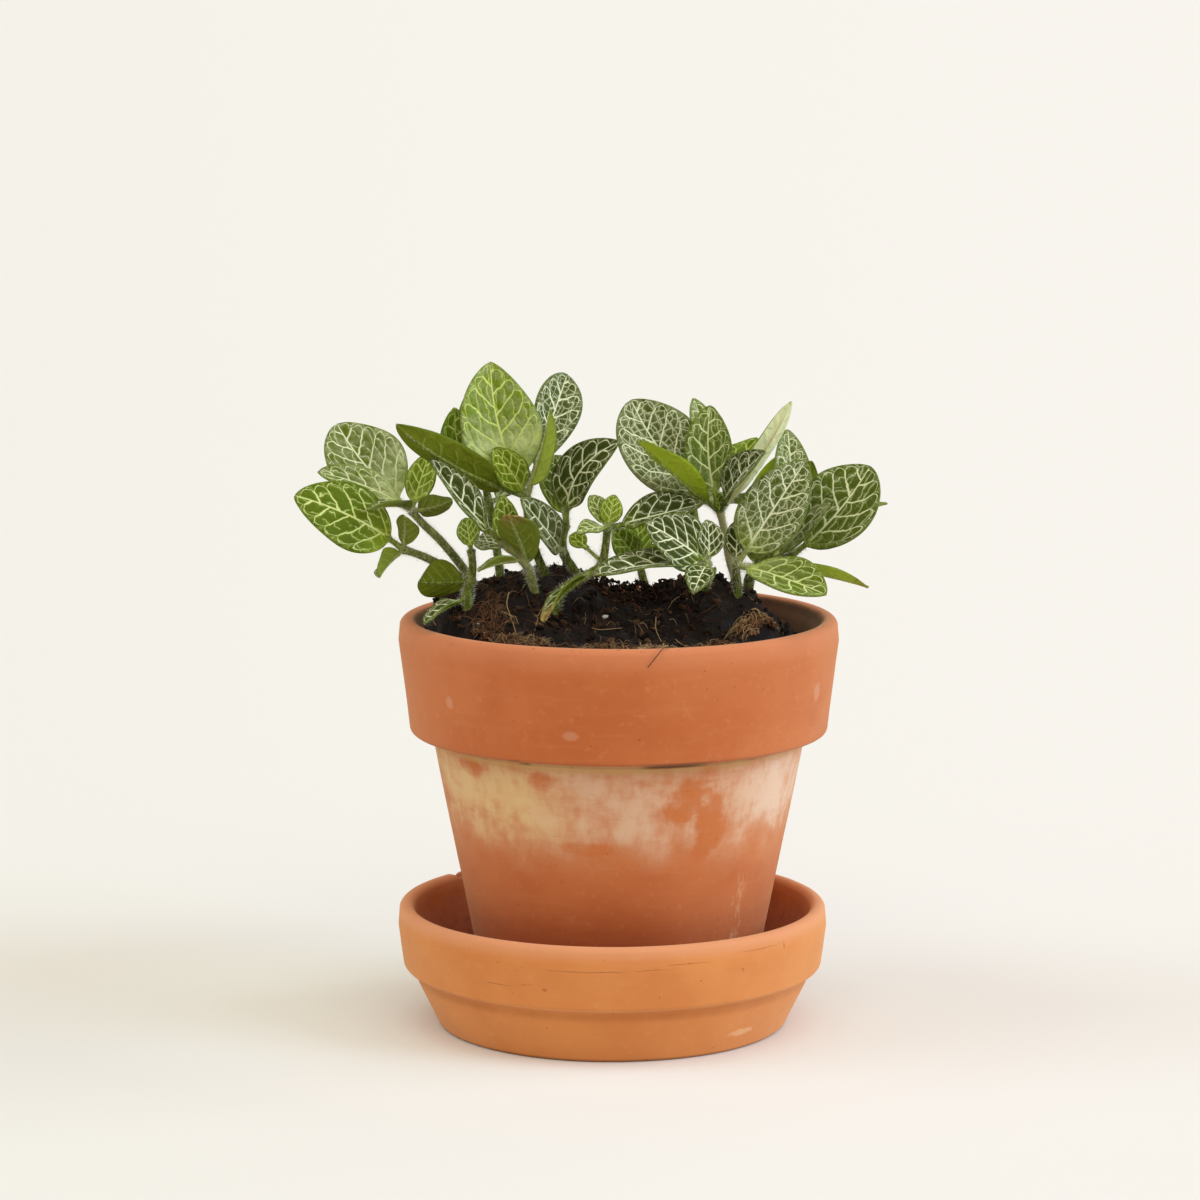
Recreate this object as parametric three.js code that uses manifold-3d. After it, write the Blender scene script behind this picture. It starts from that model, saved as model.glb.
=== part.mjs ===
// A nerve plant in a terracotta flower pot that stands in its saucer.
// Millimetres, +Z up, origin at the middle of the saucer's underside.
// Every leafy shoot is one solid: a stem with its leaves grown onto it.
import * as THREE from "three";
import { mergeVertices } from "three/addons/utils/BufferGeometryUtils.js";
import Module from "manifold-3d";

const wasm = await Module();
wasm.setup();

// ---------------------------------------------------------------- sizes
const turnSides = 40; // flats round the pot and the saucer
const fit = 0.3; // gap left between pieces that touch

const saucer = {
  rimRadius: 63.8,
  height: 36.2,
  lipWidth: 4.6,
  lipDepth: 6.5, // how far below the top the widest place is
  bandBottom: 17.3, // underside of the thick rim band
  bandRadius: 62.3,
  bandEdge: 1.4, // rounding of the band's lower edge
  wallTop: 59.6, // outside radius of the lower wall, under the band
  baseRadius: 52.2,
  baseEdge: 1.5,
  floor: 6.5, // floor thickness
  floorRadius: 47.5, // inside, at the foot of the wall
  floorEdge: 3.6,
  chip: { size: 2.6, angle: 2.46, lift: 0.7 }, // knocked out of the lip at the back left
};

const pot = {
  centreX: 1.9, // it stands a little off the saucer's middle
  stand: saucer.floor + fit,
  top: 122,
  rimRadius: 65,
  lipWidth: 5.4,
  lipDepth: 6.5,
  collarBottom: 88,
  collarRadius: 61.9,
  collarEdge: 1.8,
  bodyTop: 55.4, // outside radius just under the collar
  baseRadius: 39.6,
  baseEdge: 1.2,
  wall: 5.6,
  floor: 7,
  drainRadius: 6.5,
};

const soil = {
  rimLevel: 118.6, // height where it meets the pot's wall
  wallGap: 0.55, // the flats of the pot's wall lie a little inside its true circle
  rings: 11,
  sectors: 36,
  lump: 0.55, // how far the crumbs lift or sink the surface
  mounds: [
    { x: -31, y: -8, reach: 27, rise: 14.2 }, // the left root ball
    { x: 32.5, y: -3.5, reach: 19.5, rise: 14.4 }, // the right root ball
    { x: -2, y: -4, reach: 24, rise: 8.2 },
    { x: 42, y: -35, reach: 8.5, rise: 6 }, // a clod of fibre at the front
    { x: 60, y: 8, reach: 20, rise: -13 }, // the hollow at the right edge
  ],
};

const stem = { sides: 6, radius: 1.6, steps: 7, holeGap: 0.45 };

// What a leaf is like unless its own entry below says otherwise.
const leaf = {
  thickness: 0.7,
  stalkRadius: 0.8,
  tipRadius: 0.45,
  fold: 16, // degrees that each half rises from the midrib
  bow: 0, // how far the midrib bends to its side
  archShare: 0.063, // how far the midrib arches, as a share of the length
  stalk: 0.15, // share of the length that is stalk
  broadest: 0.47, // where along the blade it is widest
  fullness: 0.62, // lower is rounder towards the tip
  cup: 0.1,
  wave: 0.35,
  rows: [0, 0.12, 0.26, 0.42, 0.6, 0.78, 0.92, 1], // where the blade is cut into facets
  small: 22, // leaves shorter than this get fewer of them
  smallRows: [0, 0.14, 0.34, 0.56, 0.8, 1],
};

const colours = { clay: 0xc9743f, saucerClay: 0xd98a50, soil: 0x2c1c14, green: 0x5f8a2c };

// ---------------------------------------------------------------- shoots
// A shoot has the points that its stem passes, from the root up, and its leaves.
// Each leaf grows from a stem point, counted from 0, reaches its tip and turns its
// upper side to face. Positions are in mm, and face is a direction.
const shoots = [
  {
    name: "shoot_left_upper",
    stem: [
      [-40, -8, 120], [-40.5, -9, 131.5], [-44, -10, 138],
      [-50, -13, 146], [-55, -14, 151], [-58.5, -14, 155],
    ],
    leaves: [
      { at: 5, tip: [-80.5, -3, 179], width: 23.5, face: [0.2, -0.9, 0.4], bow: -2.4, broadest: 0.42 },
      { at: 5, tip: [-85.2, -19.5, 166.8], width: 11.5, face: [0.1, -0.6, 0.8] },
      { at: 5, tip: [-53.5, -11, 171], width: 9, face: [0, -1, 0.2] },
      { at: 5, tip: [-70.3, -38, 158], width: 7, face: [0.1, 0.4, 1], bow: -2.5 },
      { at: 5, tip: [-46.5, -21, 159], width: 7, face: [0, 1, 0.3], bow: -1, broadest: 0.3 },
    ],
  },
  {
    name: "shoot_left_outer",
    stem: [
      [-41.5, -17, 120], [-42.5, -17, 131.5], [-45, -18, 136.5],
      [-50, -20, 140], [-55.5, -22, 143], [-60.5, -24, 145],
    ],
    leaves: [
      { at: 5, tip: [-90.8, -35, 162], width: 20, face: [0.1, -0.85, 0.5], bow: 1, fold: -6, broadest: 0.42 },
      { at: 5, tip: [-59.5, -33, 155.5], width: 7.5, face: [0.4, 0.8, 0.3] },
      { at: 5, tip: [-66.7, -34, 138.4], width: 8, face: [-0.8, 0.2, 0.4], fold: 32 },
    ],
  },
  {
    name: "shoot_left_low",
    stem: [[-42, -25, 119], [-42, -24.5, 131], [-41, -23.5, 136], [-40.5, -22, 140], [-41, -19.5, 144]],
    leaves: [
      { at: 2, tip: [-55.6, -30, 136.5], width: 13, face: [0, 0.9, 0.3], bow: 1 },
      { at: 1, tip: [-54, -33, 124.5], width: 7.5, face: [-0.6, -0.4, 0.5] },
      { at: 4, tip: [-42.5, -16, 153], width: 7, face: [0, -1, 0.3] },
    ],
  },
  {
    name: "shoot_left_main",
    stem: [
      [-16.5, -12, 120], [-18.5, -12, 132], [-20.5, -13, 138],
      [-22.5, -14, 143.5], [-24.5, -14, 151], [-25, -13, 159],
    ],
    leaves: [
      { at: 5, tip: [-61.5, -36, 182.5], width: 13.5, face: [0.3, 0.9, 0.5], arch: 0, bow: 3, broadest: 0.4 },
      {
        at: 5, tip: [-35.5, -6, 197.5], width: 24.5, face: [0.12, -0.95, 0.3],
        bow: -3, broadest: 0.4, fullness: 0.7,
      },
      {
        at: 5, tip: [-13.4, 8, 192.5], width: 15, face: [0.35, -0.9, 0.2],
        bow: -1, stalk: 0.2, broadest: 0.6,
      },
      { at: 5, tip: [-18, -24, 185.5], width: 13, face: [1, 0.1, 0], arch: 1 },
      { at: 5, tip: [-34.5, -17, 173.5], width: 10.5, face: [0.1, -0.9, 0.4] },
    ],
  },
  {
    name: "shoot_left_front",
    stem: [
      [-22, -20, 119], [-22.5, -21, 131], [-24, -24, 138],
      [-26, -27, 142.5], [-30, -27, 146], [-32.5, -27, 148],
    ],
    leaves: [
      { at: 5, tip: [-52.5, -26, 171.5], width: 12, face: [0.75, -0.6, 0.4], bow: -4, fold: 28 },
      { at: 2, tip: [-29.5, -43, 157], width: 12, face: [0.1, 0.9, 0.5] },
      { at: 4, tip: [-31.5, -31, 161.5], width: 8, face: [0, -0.9, 0.4] },
      { at: 4, tip: [-39.5, -21, 147], width: 9, face: [0, -0.7, 0.7] },
      { at: 3, tip: [-38.5, -34, 140], width: 8, face: [0, 0.3, 1] },
    ],
  },
  {
    name: "shoot_left_right",
    stem: [
      [-6.5, -8, 119], [-8.5, -9, 131], [-11.5, -10, 137.5],
      [-14, -11, 141.5], [-14.5, -11, 146], [-13.5, -11, 150.5],
    ],
    leaves: [
      { at: 5, tip: [1.9, -14, 175], width: 14, face: [-0.3, -0.85, 0.4], bow: -4.6, broadest: 0.38 },
      { at: 3, tip: [-26.5, -30, 160.5], width: 12, face: [0.3, -0.8, 0.5], bow: -1.5 },
      { at: 5, tip: [-16.5, 4, 169], width: 13, face: [0, -0.9, 0.4] },
    ],
  },
  {
    name: "shoot_middle",
    stem: [
      [-16.5, -27, 119], [-16, -27, 131], [-11, -26.5, 136], [-5.5, -25, 138.5],
      [-3, -23, 141], [-2, -22, 146], [-1.5, -22, 151],
    ],
    leaves: [
      { at: 6, tip: [0.5, -22, 160.5], width: 7, face: [0, -1, 0.2] },
      { at: 6, tip: [26, -15, 157], width: 13, face: [0, -0.6, 0.8], arch: 1, bow: 1, fold: 26 },
      { at: 6, tip: [-6.5, -19.5, 160], width: 6.5, face: [0.3, -0.9, 0.4] },
      { at: 6, tip: [-10, -28, 150], width: 7, face: [0, -0.5, 0.9] },
      { at: 3, tip: [-19.5, -49, 127.5], width: 9, face: [-0.7, -0.2, 0.6] },
      { at: 4, tip: [-12.1, -17, 148.1], width: 5.5, face: [0.2, -0.9, 0.4], stalk: 0.55 },
    ],
  },
  {
    name: "shoot_middle_back",
    stem: [[10.5, 16, 118], [10, 16, 127], [9, 17, 131.5], [8, 18, 135.5]],
    leaves: [
      { at: 3, tip: [0.5, 14, 146], width: 9, face: [0, -1, 0.2] },
      { at: 3, tip: [7.5, 22, 148], width: 9, face: [0.1, -1, 0.2] },
      { at: 3, tip: [16, 14, 141], width: 5, face: [0, -0.9, 0.4] },
      { at: 3, tip: [6, 40, 143], width: 12, face: [0, 0.3, 1] },
    ],
  },
  {
    name: "shoot_right_main",
    stem: [[38, 0, 119], [36.5, -1, 132], [34.5, -3, 139], [33, -6, 147], [31.5, -8, 154]],
    leaves: [
      { at: 4, tip: [5.5, -2, 186], width: 24.5, face: [0.15, -0.95, 0.3], bow: -3.4, broadest: 0.54 },
      { at: 4, tip: [7.5, -34, 177.5], width: 12, face: [0.45, 0.6, 0.6], arch: 0, bow: 1, fold: 20 },
      { at: 4, tip: [28.5, -8, 185], width: 14.5, face: [0, -1, 0.2], bow: -2, stalk: 0.2 },
      { at: 4, tip: [24, 8, 185.5], width: 10, face: [0.3, -0.9, 0.3], stalk: 0.2 },
      { at: 4, tip: [44, -26, 173.5], width: 12, face: [-0.6, -0.7, 0.5], fold: 28 },
      { at: 4, tip: [52, -12, 186.5], width: 7.5, face: [-0.55, 0.8, 0.2], arch: 0, bow: -1.5, fold: 12 },
      { at: 4, tip: [28.9, -15, 160.5], width: 4, face: [0.3, -0.9, 0.4] },
    ],
  },
  {
    name: "shoot_right_outer",
    stem: [[40.5, 8, 119], [40.5, 7, 131], [42.5, 1, 136], [48, -3, 139], [52.5, -5, 140.5]],
    leaves: [
      { at: 2, tip: [45, -6, 154], width: 12, face: [-0.2, -0.9, 0.4] },
      { at: 4, tip: [75.2, -8, 167.2], width: 23, face: [-0.2, -0.9, 0.4], bow: 2.6, broadest: 0.56 },
      { at: 4, tip: [81.5, 10, 154], width: 9, face: [0, 0.3, 1] },
      { at: 4, tip: [52, 15, 175.5], width: 12, face: [0.2, -0.9, 0.3] },
      { at: 4, tip: [58.5, 4, 167.5], width: 11, face: [0.1, 0.9, 0.3] },
      { at: 1, tip: [50.4, 12, 168.3], width: 17, face: [0.1, 0.95, 0.2], bow: -1 },
      { at: 3, tip: [63, -16, 157.5], width: 6, face: [-0.2, -0.9, 0.3] },
    ],
  },
  {
    name: "shoot_right_low",
    stem: [[37, -13, 119], [36.5, -13.5, 132], [36, -16, 136.5], [36, -18, 139.5]],
    leaves: [
      {
        at: 3, tip: [60.5, -43, 134.5], width: 15, face: [0.1, -0.7, 0.65],
        bow: 1, broadest: 0.58, fullness: 0.55,
      },
      { at: 3, tip: [59.2, -14, 137.2], width: 6, face: [0, 0.3, 1], arch: 0 },
      { at: 3, tip: [73.9, -24, 133.8], width: 8, face: [0, 0.5, 0.85], bow: -1.5 },
      { at: 3, tip: [37, -12, 152], width: 7, face: [-0.3, -0.9, 0.2] },
      { at: 3, tip: [56, -14.5, 169.5], width: 19.5, face: [0.15, -0.9, 0.45], broadest: 0.4 },
    ],
  },
  {
    name: "shoot_right_front",
    stem: [[27, -11, 119], [27.2, -12, 131], [27.4, -19, 137.5], [27.5, -26, 141]],
    leaves: [
      { at: 3, tip: [9.5, -34, 154], width: 17, face: [0.35, -0.85, 0.4], fold: 8, broadest: 0.38 },
      { at: 3, tip: [-5.5, -42, 139.8], width: 13, face: [0, -0.35, 1], arch: 1.5 },
      { at: 3, tip: [23, -44, 135], width: 9, face: [0, -0.5, 0.9] },
      { at: 3, tip: [27.2, -24, 153.5], width: 9, face: [0.4, -0.85, 0.3] },
    ],
  },
  {
    name: "shoot_back_left",
    stem: [[-33, 20, 118], [-33.5, 21, 130], [-35, 23, 141], [-37, 24, 152], [-38.5, 23, 161]],
    leaves: [
      { at: 4, tip: [-46.4, 8, 182.8], width: 13, face: [0, -1, 0.2], bow: -3.5 },
      { at: 4, tip: [-40.5, 27, 188], width: 13, face: [-0.1, -1, 0.2] },
      { at: 4, tip: [-27, 50, 181], width: 18, face: [0.1, 0.5, 0.7] },
      { at: 3, tip: [-17, 47, 157], width: 15, face: [0.1, 0.2, 1] },
      { at: 4, tip: [-21, 19, 173], width: 9, face: [0.3, -0.9, 0.5] },
    ],
  },
  {
    name: "shoot_back_right",
    stem: [[27, 22, 118], [27, 22, 129], [26, 25, 141], [24, 27, 152], [23, 28, 161]],
    leaves: [
      { at: 4, tip: [11, 41, 178], width: 15, face: [-0.2, 0.5, 0.8] },
      { at: 4, tip: [43.5, 26, 171.8], width: 10, face: [-0.2, -0.9, 0.4], bow: 4 },
      { at: 4, tip: [36, 57, 160], width: 17, face: [0.1, 0.4, 0.9] },
      { at: 3, tip: [50, 45, 147], width: 15, face: [0.3, 0.3, 1] },
      { at: 3, tip: [13, 50, 159], width: 15, face: [-0.2, 0.3, 1] },
    ],
  },
];

// ---------------------------------------------------------------- solids
// A closed mesh as a solid that can be joined and cut.
function solidOf(geometry) {
  const bare = geometry.index ? geometry.toNonIndexed() : geometry.clone();
  bare.deleteAttribute("normal");
  bare.deleteAttribute("uv");
  const merged = mergeVertices(bare, 1e-3);
  return new wasm.Manifold(
    new wasm.Mesh({
      numProp: 3,
      vertProperties: merged.attributes.position.array,
      triVerts: new Uint32Array(merged.index.array),
    })
  );
}

function geometryOf(solid) {
  const mesh = solid.getMesh();
  const points = new Float32Array(mesh.numVert * 3);
  for (let i = 0; i < mesh.numVert; i++)
    points.set(mesh.vertProperties.subarray(i * mesh.numProp, i * mesh.numProp + 3), i * 3);
  return meshed(points, Array.from(mesh.triVerts));
}

function meshed(numbers, faces) {
  const geometry = new THREE.BufferGeometry();
  geometry.setAttribute("position", new THREE.Float32BufferAttribute(numbers, 3));
  geometry.setIndex(faces);
  geometry.computeVertexNormals();
  return geometry;
}

// A closed solid from two matching grids of points, an upper and a lower one.
// Both grids are split along the same diagonals, so the two sides never meet.
function slab(upper, lower) {
  const lastRow = upper.length - 1;
  const lastColumn = upper[0].length - 1;
  const grid = upper.length * upper[0].length;
  const top = (i, j) => i * (lastColumn + 1) + j;
  const bottom = (i, j) => grid + top(i, j);
  const faces = [];
  const quad = (a, b, c, d) => faces.push(a, b, c, a, c, d);
  for (let i = 0; i < lastRow; i++) {
    for (let j = 0; j < lastColumn; j++) {
      quad(top(i, j), top(i, j + 1), top(i + 1, j + 1), top(i + 1, j));
      quad(bottom(i, j), bottom(i + 1, j), bottom(i + 1, j + 1), bottom(i, j + 1));
    }
    quad(top(i + 1, 0), bottom(i + 1, 0), bottom(i, 0), top(i, 0));
    quad(top(i, lastColumn), bottom(i, lastColumn), bottom(i + 1, lastColumn), top(i + 1, lastColumn));
  }
  for (let j = 0; j < lastColumn; j++) {
    quad(top(0, j), bottom(0, j), bottom(0, j + 1), top(0, j + 1));
    quad(top(lastRow, j + 1), bottom(lastRow, j + 1), bottom(lastRow, j), top(lastRow, j));
  }
  return meshed([...upper.flat(), ...lower.flat()].flatMap((point) => point.toArray()), faces);
}

// ---------------------------------------------------------------- clay
const right = 0;
const left = Math.PI;
const down = -Math.PI / 2;
const at = (x, z) => new THREE.Vector2(x, z);

// Points of an arc round a centre, from one angle to another, in radians.
function arc(x, z, radius, from, to, steps) {
  return Array.from({ length: steps + 1 }, (_, i) => {
    const angle = from + ((to - from) * i) / steps;
    return at(x + radius * Math.cos(angle), z + radius * Math.sin(angle));
  });
}

function turned(profile) {
  return new THREE.LatheGeometry(profile, turnSides).rotateX(Math.PI / 2);
}

function saucerGeometry() {
  const s = saucer;
  const lip = s.lipWidth / 2;
  const profile = [
    at(0, 0),
    ...arc(s.baseRadius - s.baseEdge, s.baseEdge, s.baseEdge, down, right - 0.3, 2),
    at(s.wallTop - 1, s.bandBottom - 2.6),
    at(s.wallTop, s.bandBottom),
    ...arc(s.bandRadius - s.bandEdge, s.bandBottom + s.bandEdge, s.bandEdge, down, right, 2),
    at(s.rimRadius, s.height - s.lipDepth),
    ...arc(s.rimRadius - lip - 0.2, s.height - lip, lip, right + 0.35, left - 0.2, 4),
    at(s.rimRadius - s.lipWidth - 0.6, s.height - s.lipDepth),
    at(s.floorRadius + 2.2, s.floor + 5),
    ...arc(s.floorRadius - 2, s.floor + s.floorEdge, s.floorEdge, right - 0.4, down, 2),
    at(0, s.floor),
  ];
  const chip = new THREE.IcosahedronGeometry(s.chip.size, 0).scale(1.1, 0.75, 1.15).rotateZ(s.chip.angle);
  const reach = s.rimRadius - lip;
  chip.translate(reach * Math.cos(s.chip.angle), reach * Math.sin(s.chip.angle), s.height + s.chip.lift);
  return geometryOf(solidOf(turned(profile)).subtract(solidOf(chip)));
}

// Inside radius of the pot at a height over its foot.
function potInside(height) {
  const low = pot.baseRadius - pot.wall;
  const high = pot.rimRadius - pot.lipWidth - 1.2;
  return low + ((high - low) * height) / (pot.top - pot.stand);
}

function potGeometry() {
  const p = pot;
  const lip = p.lipWidth / 2;
  const top = p.top - p.stand; // the foot is at 0 here
  const collar = p.collarBottom - p.stand;
  const profile = [
    at(p.drainRadius, 0),
    ...arc(p.baseRadius - p.baseEdge, p.baseEdge, p.baseEdge, down, right, 2),
    at(p.bodyTop, collar),
    ...arc(p.collarRadius - p.collarEdge, collar + p.collarEdge, p.collarEdge, down, right, 3),
    at(p.rimRadius, top - p.lipDepth),
    ...arc(p.rimRadius - lip - 0.25, top - lip, lip, right + 0.35, left - 0.2, 4),
    at(potInside(top - 5), top - 5),
    at(potInside(p.floor), p.floor),
    at(p.drainRadius, p.floor),
    at(p.drainRadius, 0),
  ];
  return turned(profile);
}

// ---------------------------------------------------------------- soil
function soilHeight(x, y) {
  const crumbs =
    Math.sin(0.53 * x + 1.3) * Math.cos(0.61 * y - 0.4) +
    0.6 * Math.sin(1.07 * x - 0.9 * y + 2.1) +
    0.4 * Math.sin(1.9 * y + 0.7 * x);
  return soil.mounds.reduce((height, mound) => {
    const away = Math.hypot(x - mound.x, y - mound.y) / mound.reach;
    return height + mound.rise * Math.exp(-(away ** 3));
  }, soil.rimLevel + soil.lump * crumbs);
}

// Rings of points from the middle out to the pot's wall, closed by a foot ring below.
function soilGeometry() {
  const bottom = pot.stand + pot.floor + fit;
  const inside = (z) => potInside(z - pot.stand) - soil.wallGap;
  const edge = inside(soil.rimLevel);
  const turns = Array.from({ length: soil.sectors }, (_, j) => (2 * Math.PI * j) / soil.sectors);
  const surfacePoint = (share, turn) => {
    const x = pot.centreX + share * edge * Math.cos(turn);
    const height = soilHeight(x, share * edge * Math.sin(turn));
    const z = share === 1 ? Math.min(soil.rimLevel, height) : height;
    const radius = Math.min(share * edge, inside(z));
    return [pot.centreX + radius * Math.cos(turn), radius * Math.sin(turn), z];
  };
  const footPoint = (turn) => {
    const radius = inside(bottom);
    return [pot.centreX + radius * Math.cos(turn), radius * Math.sin(turn), bottom];
  };
  const rows = [];
  for (let i = 1; i <= soil.rings; i++) rows.push(turns.map((turn) => surfacePoint(i / soil.rings, turn)));
  rows.push(turns.map(footPoint));

  const points = [surfacePoint(0, 0), ...rows.flat(), [pot.centreX, 0, bottom]];
  const last = points.length - 1;
  const index = (i, j) => 1 + i * soil.sectors + (j % soil.sectors);
  const faces = [];
  for (let j = 0; j < soil.sectors; j++) {
    faces.push(0, index(0, j), index(0, j + 1));
    for (let i = 0; i < rows.length - 1; i++) {
      faces.push(index(i, j), index(i + 1, j), index(i + 1, j + 1));
      faces.push(index(i, j), index(i + 1, j + 1), index(i, j + 1));
    }
    faces.push(last, index(rows.length - 1, j + 1), index(rows.length - 1, j));
  }
  return meshed(points.flat(), faces);
}

// ---------------------------------------------------------------- leaves
const vector = (xyz) => new THREE.Vector3(...xyz);

// Half the leaf's width at a share v of its length, from 0 at the stem to 1 at the tip.
function halfWidth(v, shape) {
  if (v <= shape.stalk) return shape.stalkRadius;
  const t = Math.min(1, (v - shape.stalk) / (1 - shape.stalk));
  const skew = Math.log(0.5) / Math.log(shape.broadest);
  const blade = (shape.width / 2) * Math.max(0, Math.sin(Math.PI * t ** skew)) ** shape.fullness;
  return Math.max(blade, t < 0.5 ? shape.stalkRadius : shape.tipRadius);
}

// A point of the leaf's middle surface: u from -1 to 1 across, v from 0 to 1 along.
// The midrib bulges towards the leaf's face by arch and to its side by bow.
function leafPoint(u, v, shape) {
  const bulge = 4 * v * (1 - v);
  const point = shape.base
    .clone()
    .addScaledVector(shape.along, v)
    .addScaledVector(shape.face, shape.arch * bulge)
    .addScaledVector(shape.side, shape.bow * bulge);
  const way = shape.along
    .clone()
    .addScaledVector(shape.face, 4 * shape.arch * (1 - 2 * v))
    .addScaledVector(shape.side, 4 * shape.bow * (1 - 2 * v))
    .normalize();
  const face = shape.face.clone().addScaledVector(way, -shape.face.dot(way)).normalize();
  const side = way.cross(face);
  const half = halfWidth(v, shape);
  const blade = THREE.MathUtils.smoothstep(v, shape.stalk, shape.stalk + 0.2);
  const angle = THREE.MathUtils.degToRad(shape.fold) * blade;
  const ripple = shape.wave * blade * u * u * Math.sin(11 * v + shape.phase + (u > 0 ? 2 : 0));
  const rise = half * Math.abs(u) * Math.sin(angle) + shape.cup * half * u * u * blade + ripple;
  return point.addScaledVector(side, half * u * Math.cos(angle)).addScaledVector(face, rise);
}

function leafShape(base, spec, index) {
  const along = vector(spec.tip).sub(base);
  const axis = along.clone().normalize();
  const face = vector(spec.face);
  face.addScaledVector(axis, -face.dot(axis)).normalize();
  const side = new THREE.Vector3().crossVectors(axis, face);
  const arch = leaf.archShare * along.length();
  return { ...leaf, arch, ...spec, base, along, face, side, phase: 1.7 * index };
}

// Each blade is a thin slab round the middle surface, thicker along its stalk.
function leafGeometry(base, spec, index) {
  const shape = leafShape(base, spec, index);
  const small = shape.along.length() < leaf.small;
  const across = small ? 2 : 4;
  const rows = small ? leaf.smallRows : leaf.rows;
  const nudge = 0.01;
  const upper = rows.map(() => []);
  const lower = rows.map(() => []);
  rows.forEach((v, i) => {
    const blade = THREE.MathUtils.smoothstep(v, 0, 0.25);
    const thickness = THREE.MathUtils.lerp(2 * leaf.stalkRadius, leaf.thickness, blade);
    for (let j = 0; j <= across; j++) {
      const u = (2 * j) / across - 1;
      const acrossWay = leafPoint(u + nudge, v, shape).sub(leafPoint(u - nudge, v, shape));
      const alongWay = leafPoint(u, v + nudge, shape).sub(leafPoint(u, v - nudge, shape));
      const out = alongWay.cross(acrossWay).normalize();
      if (out.dot(shape.face) < 0) out.negate();
      const middle = leafPoint(u, v, shape);
      upper[i].push(middle.clone().addScaledVector(out, thickness / 2));
      lower[i].push(middle.clone().addScaledVector(out, -thickness / 2));
    }
  });
  return slab(upper, lower);
}

// ---------------------------------------------------------------- stems
function tube(points, radius, steps) {
  const corners = Array.from({ length: stem.sides }, (_, i) => {
    const angle = (2 * Math.PI * i) / stem.sides;
    return at(radius * Math.cos(angle), radius * Math.sin(angle));
  });
  return new THREE.ExtrudeGeometry(new THREE.Shape(corners), {
    steps,
    bevelEnabled: false,
    extrudePath: new THREE.CatmullRomCurve3(points),
  });
}

function shootSolid({ stem: way, leaves }) {
  const points = way.map(vector);
  let solid = solidOf(tube(points, stem.radius, stem.steps));
  leaves.forEach((spec, index) => {
    solid = solid.add(solidOf(leafGeometry(points[spec.at], spec, index)));
  });
  return solid;
}

// The plain hole in the soil that a stem stands in, which follows it up to its third point.
function stemHole({ stem: way }) {
  const path = new THREE.CatmullRomCurve3(way.map(vector));
  const reach = 2 / (way.length - 1);
  const points = Array.from({ length: 6 }, (_, i) => path.getPoint((reach * i) / 5));
  points[0].z -= fit;
  return solidOf(tube(points, stem.radius + stem.holeGap, 5));
}

// ---------------------------------------------------------------- assembly
function finish(color, roughness) {
  return new THREE.MeshStandardMaterial({ color, roughness, metalness: 0 });
}

function piece(name, geometry, material) {
  const mesh = new THREE.Mesh(geometry, material);
  mesh.name = name;
  return mesh;
}

const plant = new THREE.Group();
plant.add(piece("saucer", saucerGeometry(), finish(colours.saucerClay, 0.9)));

const potPiece = piece("pot", potGeometry(), finish(colours.clay, 0.9));
potPiece.position.set(pot.centreX, 0, pot.stand);
plant.add(potPiece);

let earth = solidOf(soilGeometry());
for (const shoot of shoots) earth = earth.subtract(stemHole(shoot));
plant.add(piece("soil", geometryOf(earth), finish(colours.soil, 1)));

const foliage = finish(colours.green, 0.55);
for (const shoot of shoots) plant.add(piece(shoot.name, geometryOf(shootSolid(shoot)), foliage));

export default plant;
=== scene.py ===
import math
import random
import bmesh
import bpy
from mathutils import Matrix, Vector, noise


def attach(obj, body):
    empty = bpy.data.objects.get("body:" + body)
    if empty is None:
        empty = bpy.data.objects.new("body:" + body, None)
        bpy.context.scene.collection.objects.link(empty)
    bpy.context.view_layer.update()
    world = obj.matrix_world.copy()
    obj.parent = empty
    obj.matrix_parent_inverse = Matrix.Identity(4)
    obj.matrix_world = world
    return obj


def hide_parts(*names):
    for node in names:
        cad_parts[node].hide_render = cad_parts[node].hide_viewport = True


# A nerve plant in a terracotta pot and saucer.
# Pieces are modelled in millimetres round the saucer's middle and brought to metres at the end.
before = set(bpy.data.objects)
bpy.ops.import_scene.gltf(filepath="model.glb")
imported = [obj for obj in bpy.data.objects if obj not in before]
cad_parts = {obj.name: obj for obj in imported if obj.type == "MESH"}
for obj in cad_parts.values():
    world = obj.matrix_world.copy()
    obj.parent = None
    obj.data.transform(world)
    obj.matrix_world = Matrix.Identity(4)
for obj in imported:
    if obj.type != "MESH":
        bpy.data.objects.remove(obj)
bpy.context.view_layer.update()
scene = bpy.context.scene
chance = random.Random(21)
millimetre = 0.001  # in metres


def rgb(red, green, blue):  # a colour as a picture editor gives it, 0 to 255
    parts = [channel / 255 for channel in (red, green, blue)]
    return tuple(((part + 0.055) / 1.055) ** 2.4 if part > 0.04 else part / 12.92 for part in parts) + (1,)


class Wire:  # a node's output, so that sums on it add their own Math nodes
    def __init__(self, finish, socket):
        self.finish = finish
        self.socket = socket

    def math(self, operation, *values):
        return self.finish.node("Math", {"operation": operation}, dict(enumerate(values)))

    def __add__(self, other):
        return self.math("ADD", self, other)

    def __sub__(self, other):
        return self.math("SUBTRACT", self, other)

    def __rsub__(self, other):
        return self.math("SUBTRACT", other, self)

    def __mul__(self, other):
        return self.math("MULTIPLY", self, other)

    def __truediv__(self, other):
        return self.math("DIVIDE", self, other)

    def __abs__(self):
        return self.math("ABSOLUTE", self)

    __radd__ = __add__
    __rmul__ = __mul__


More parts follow.
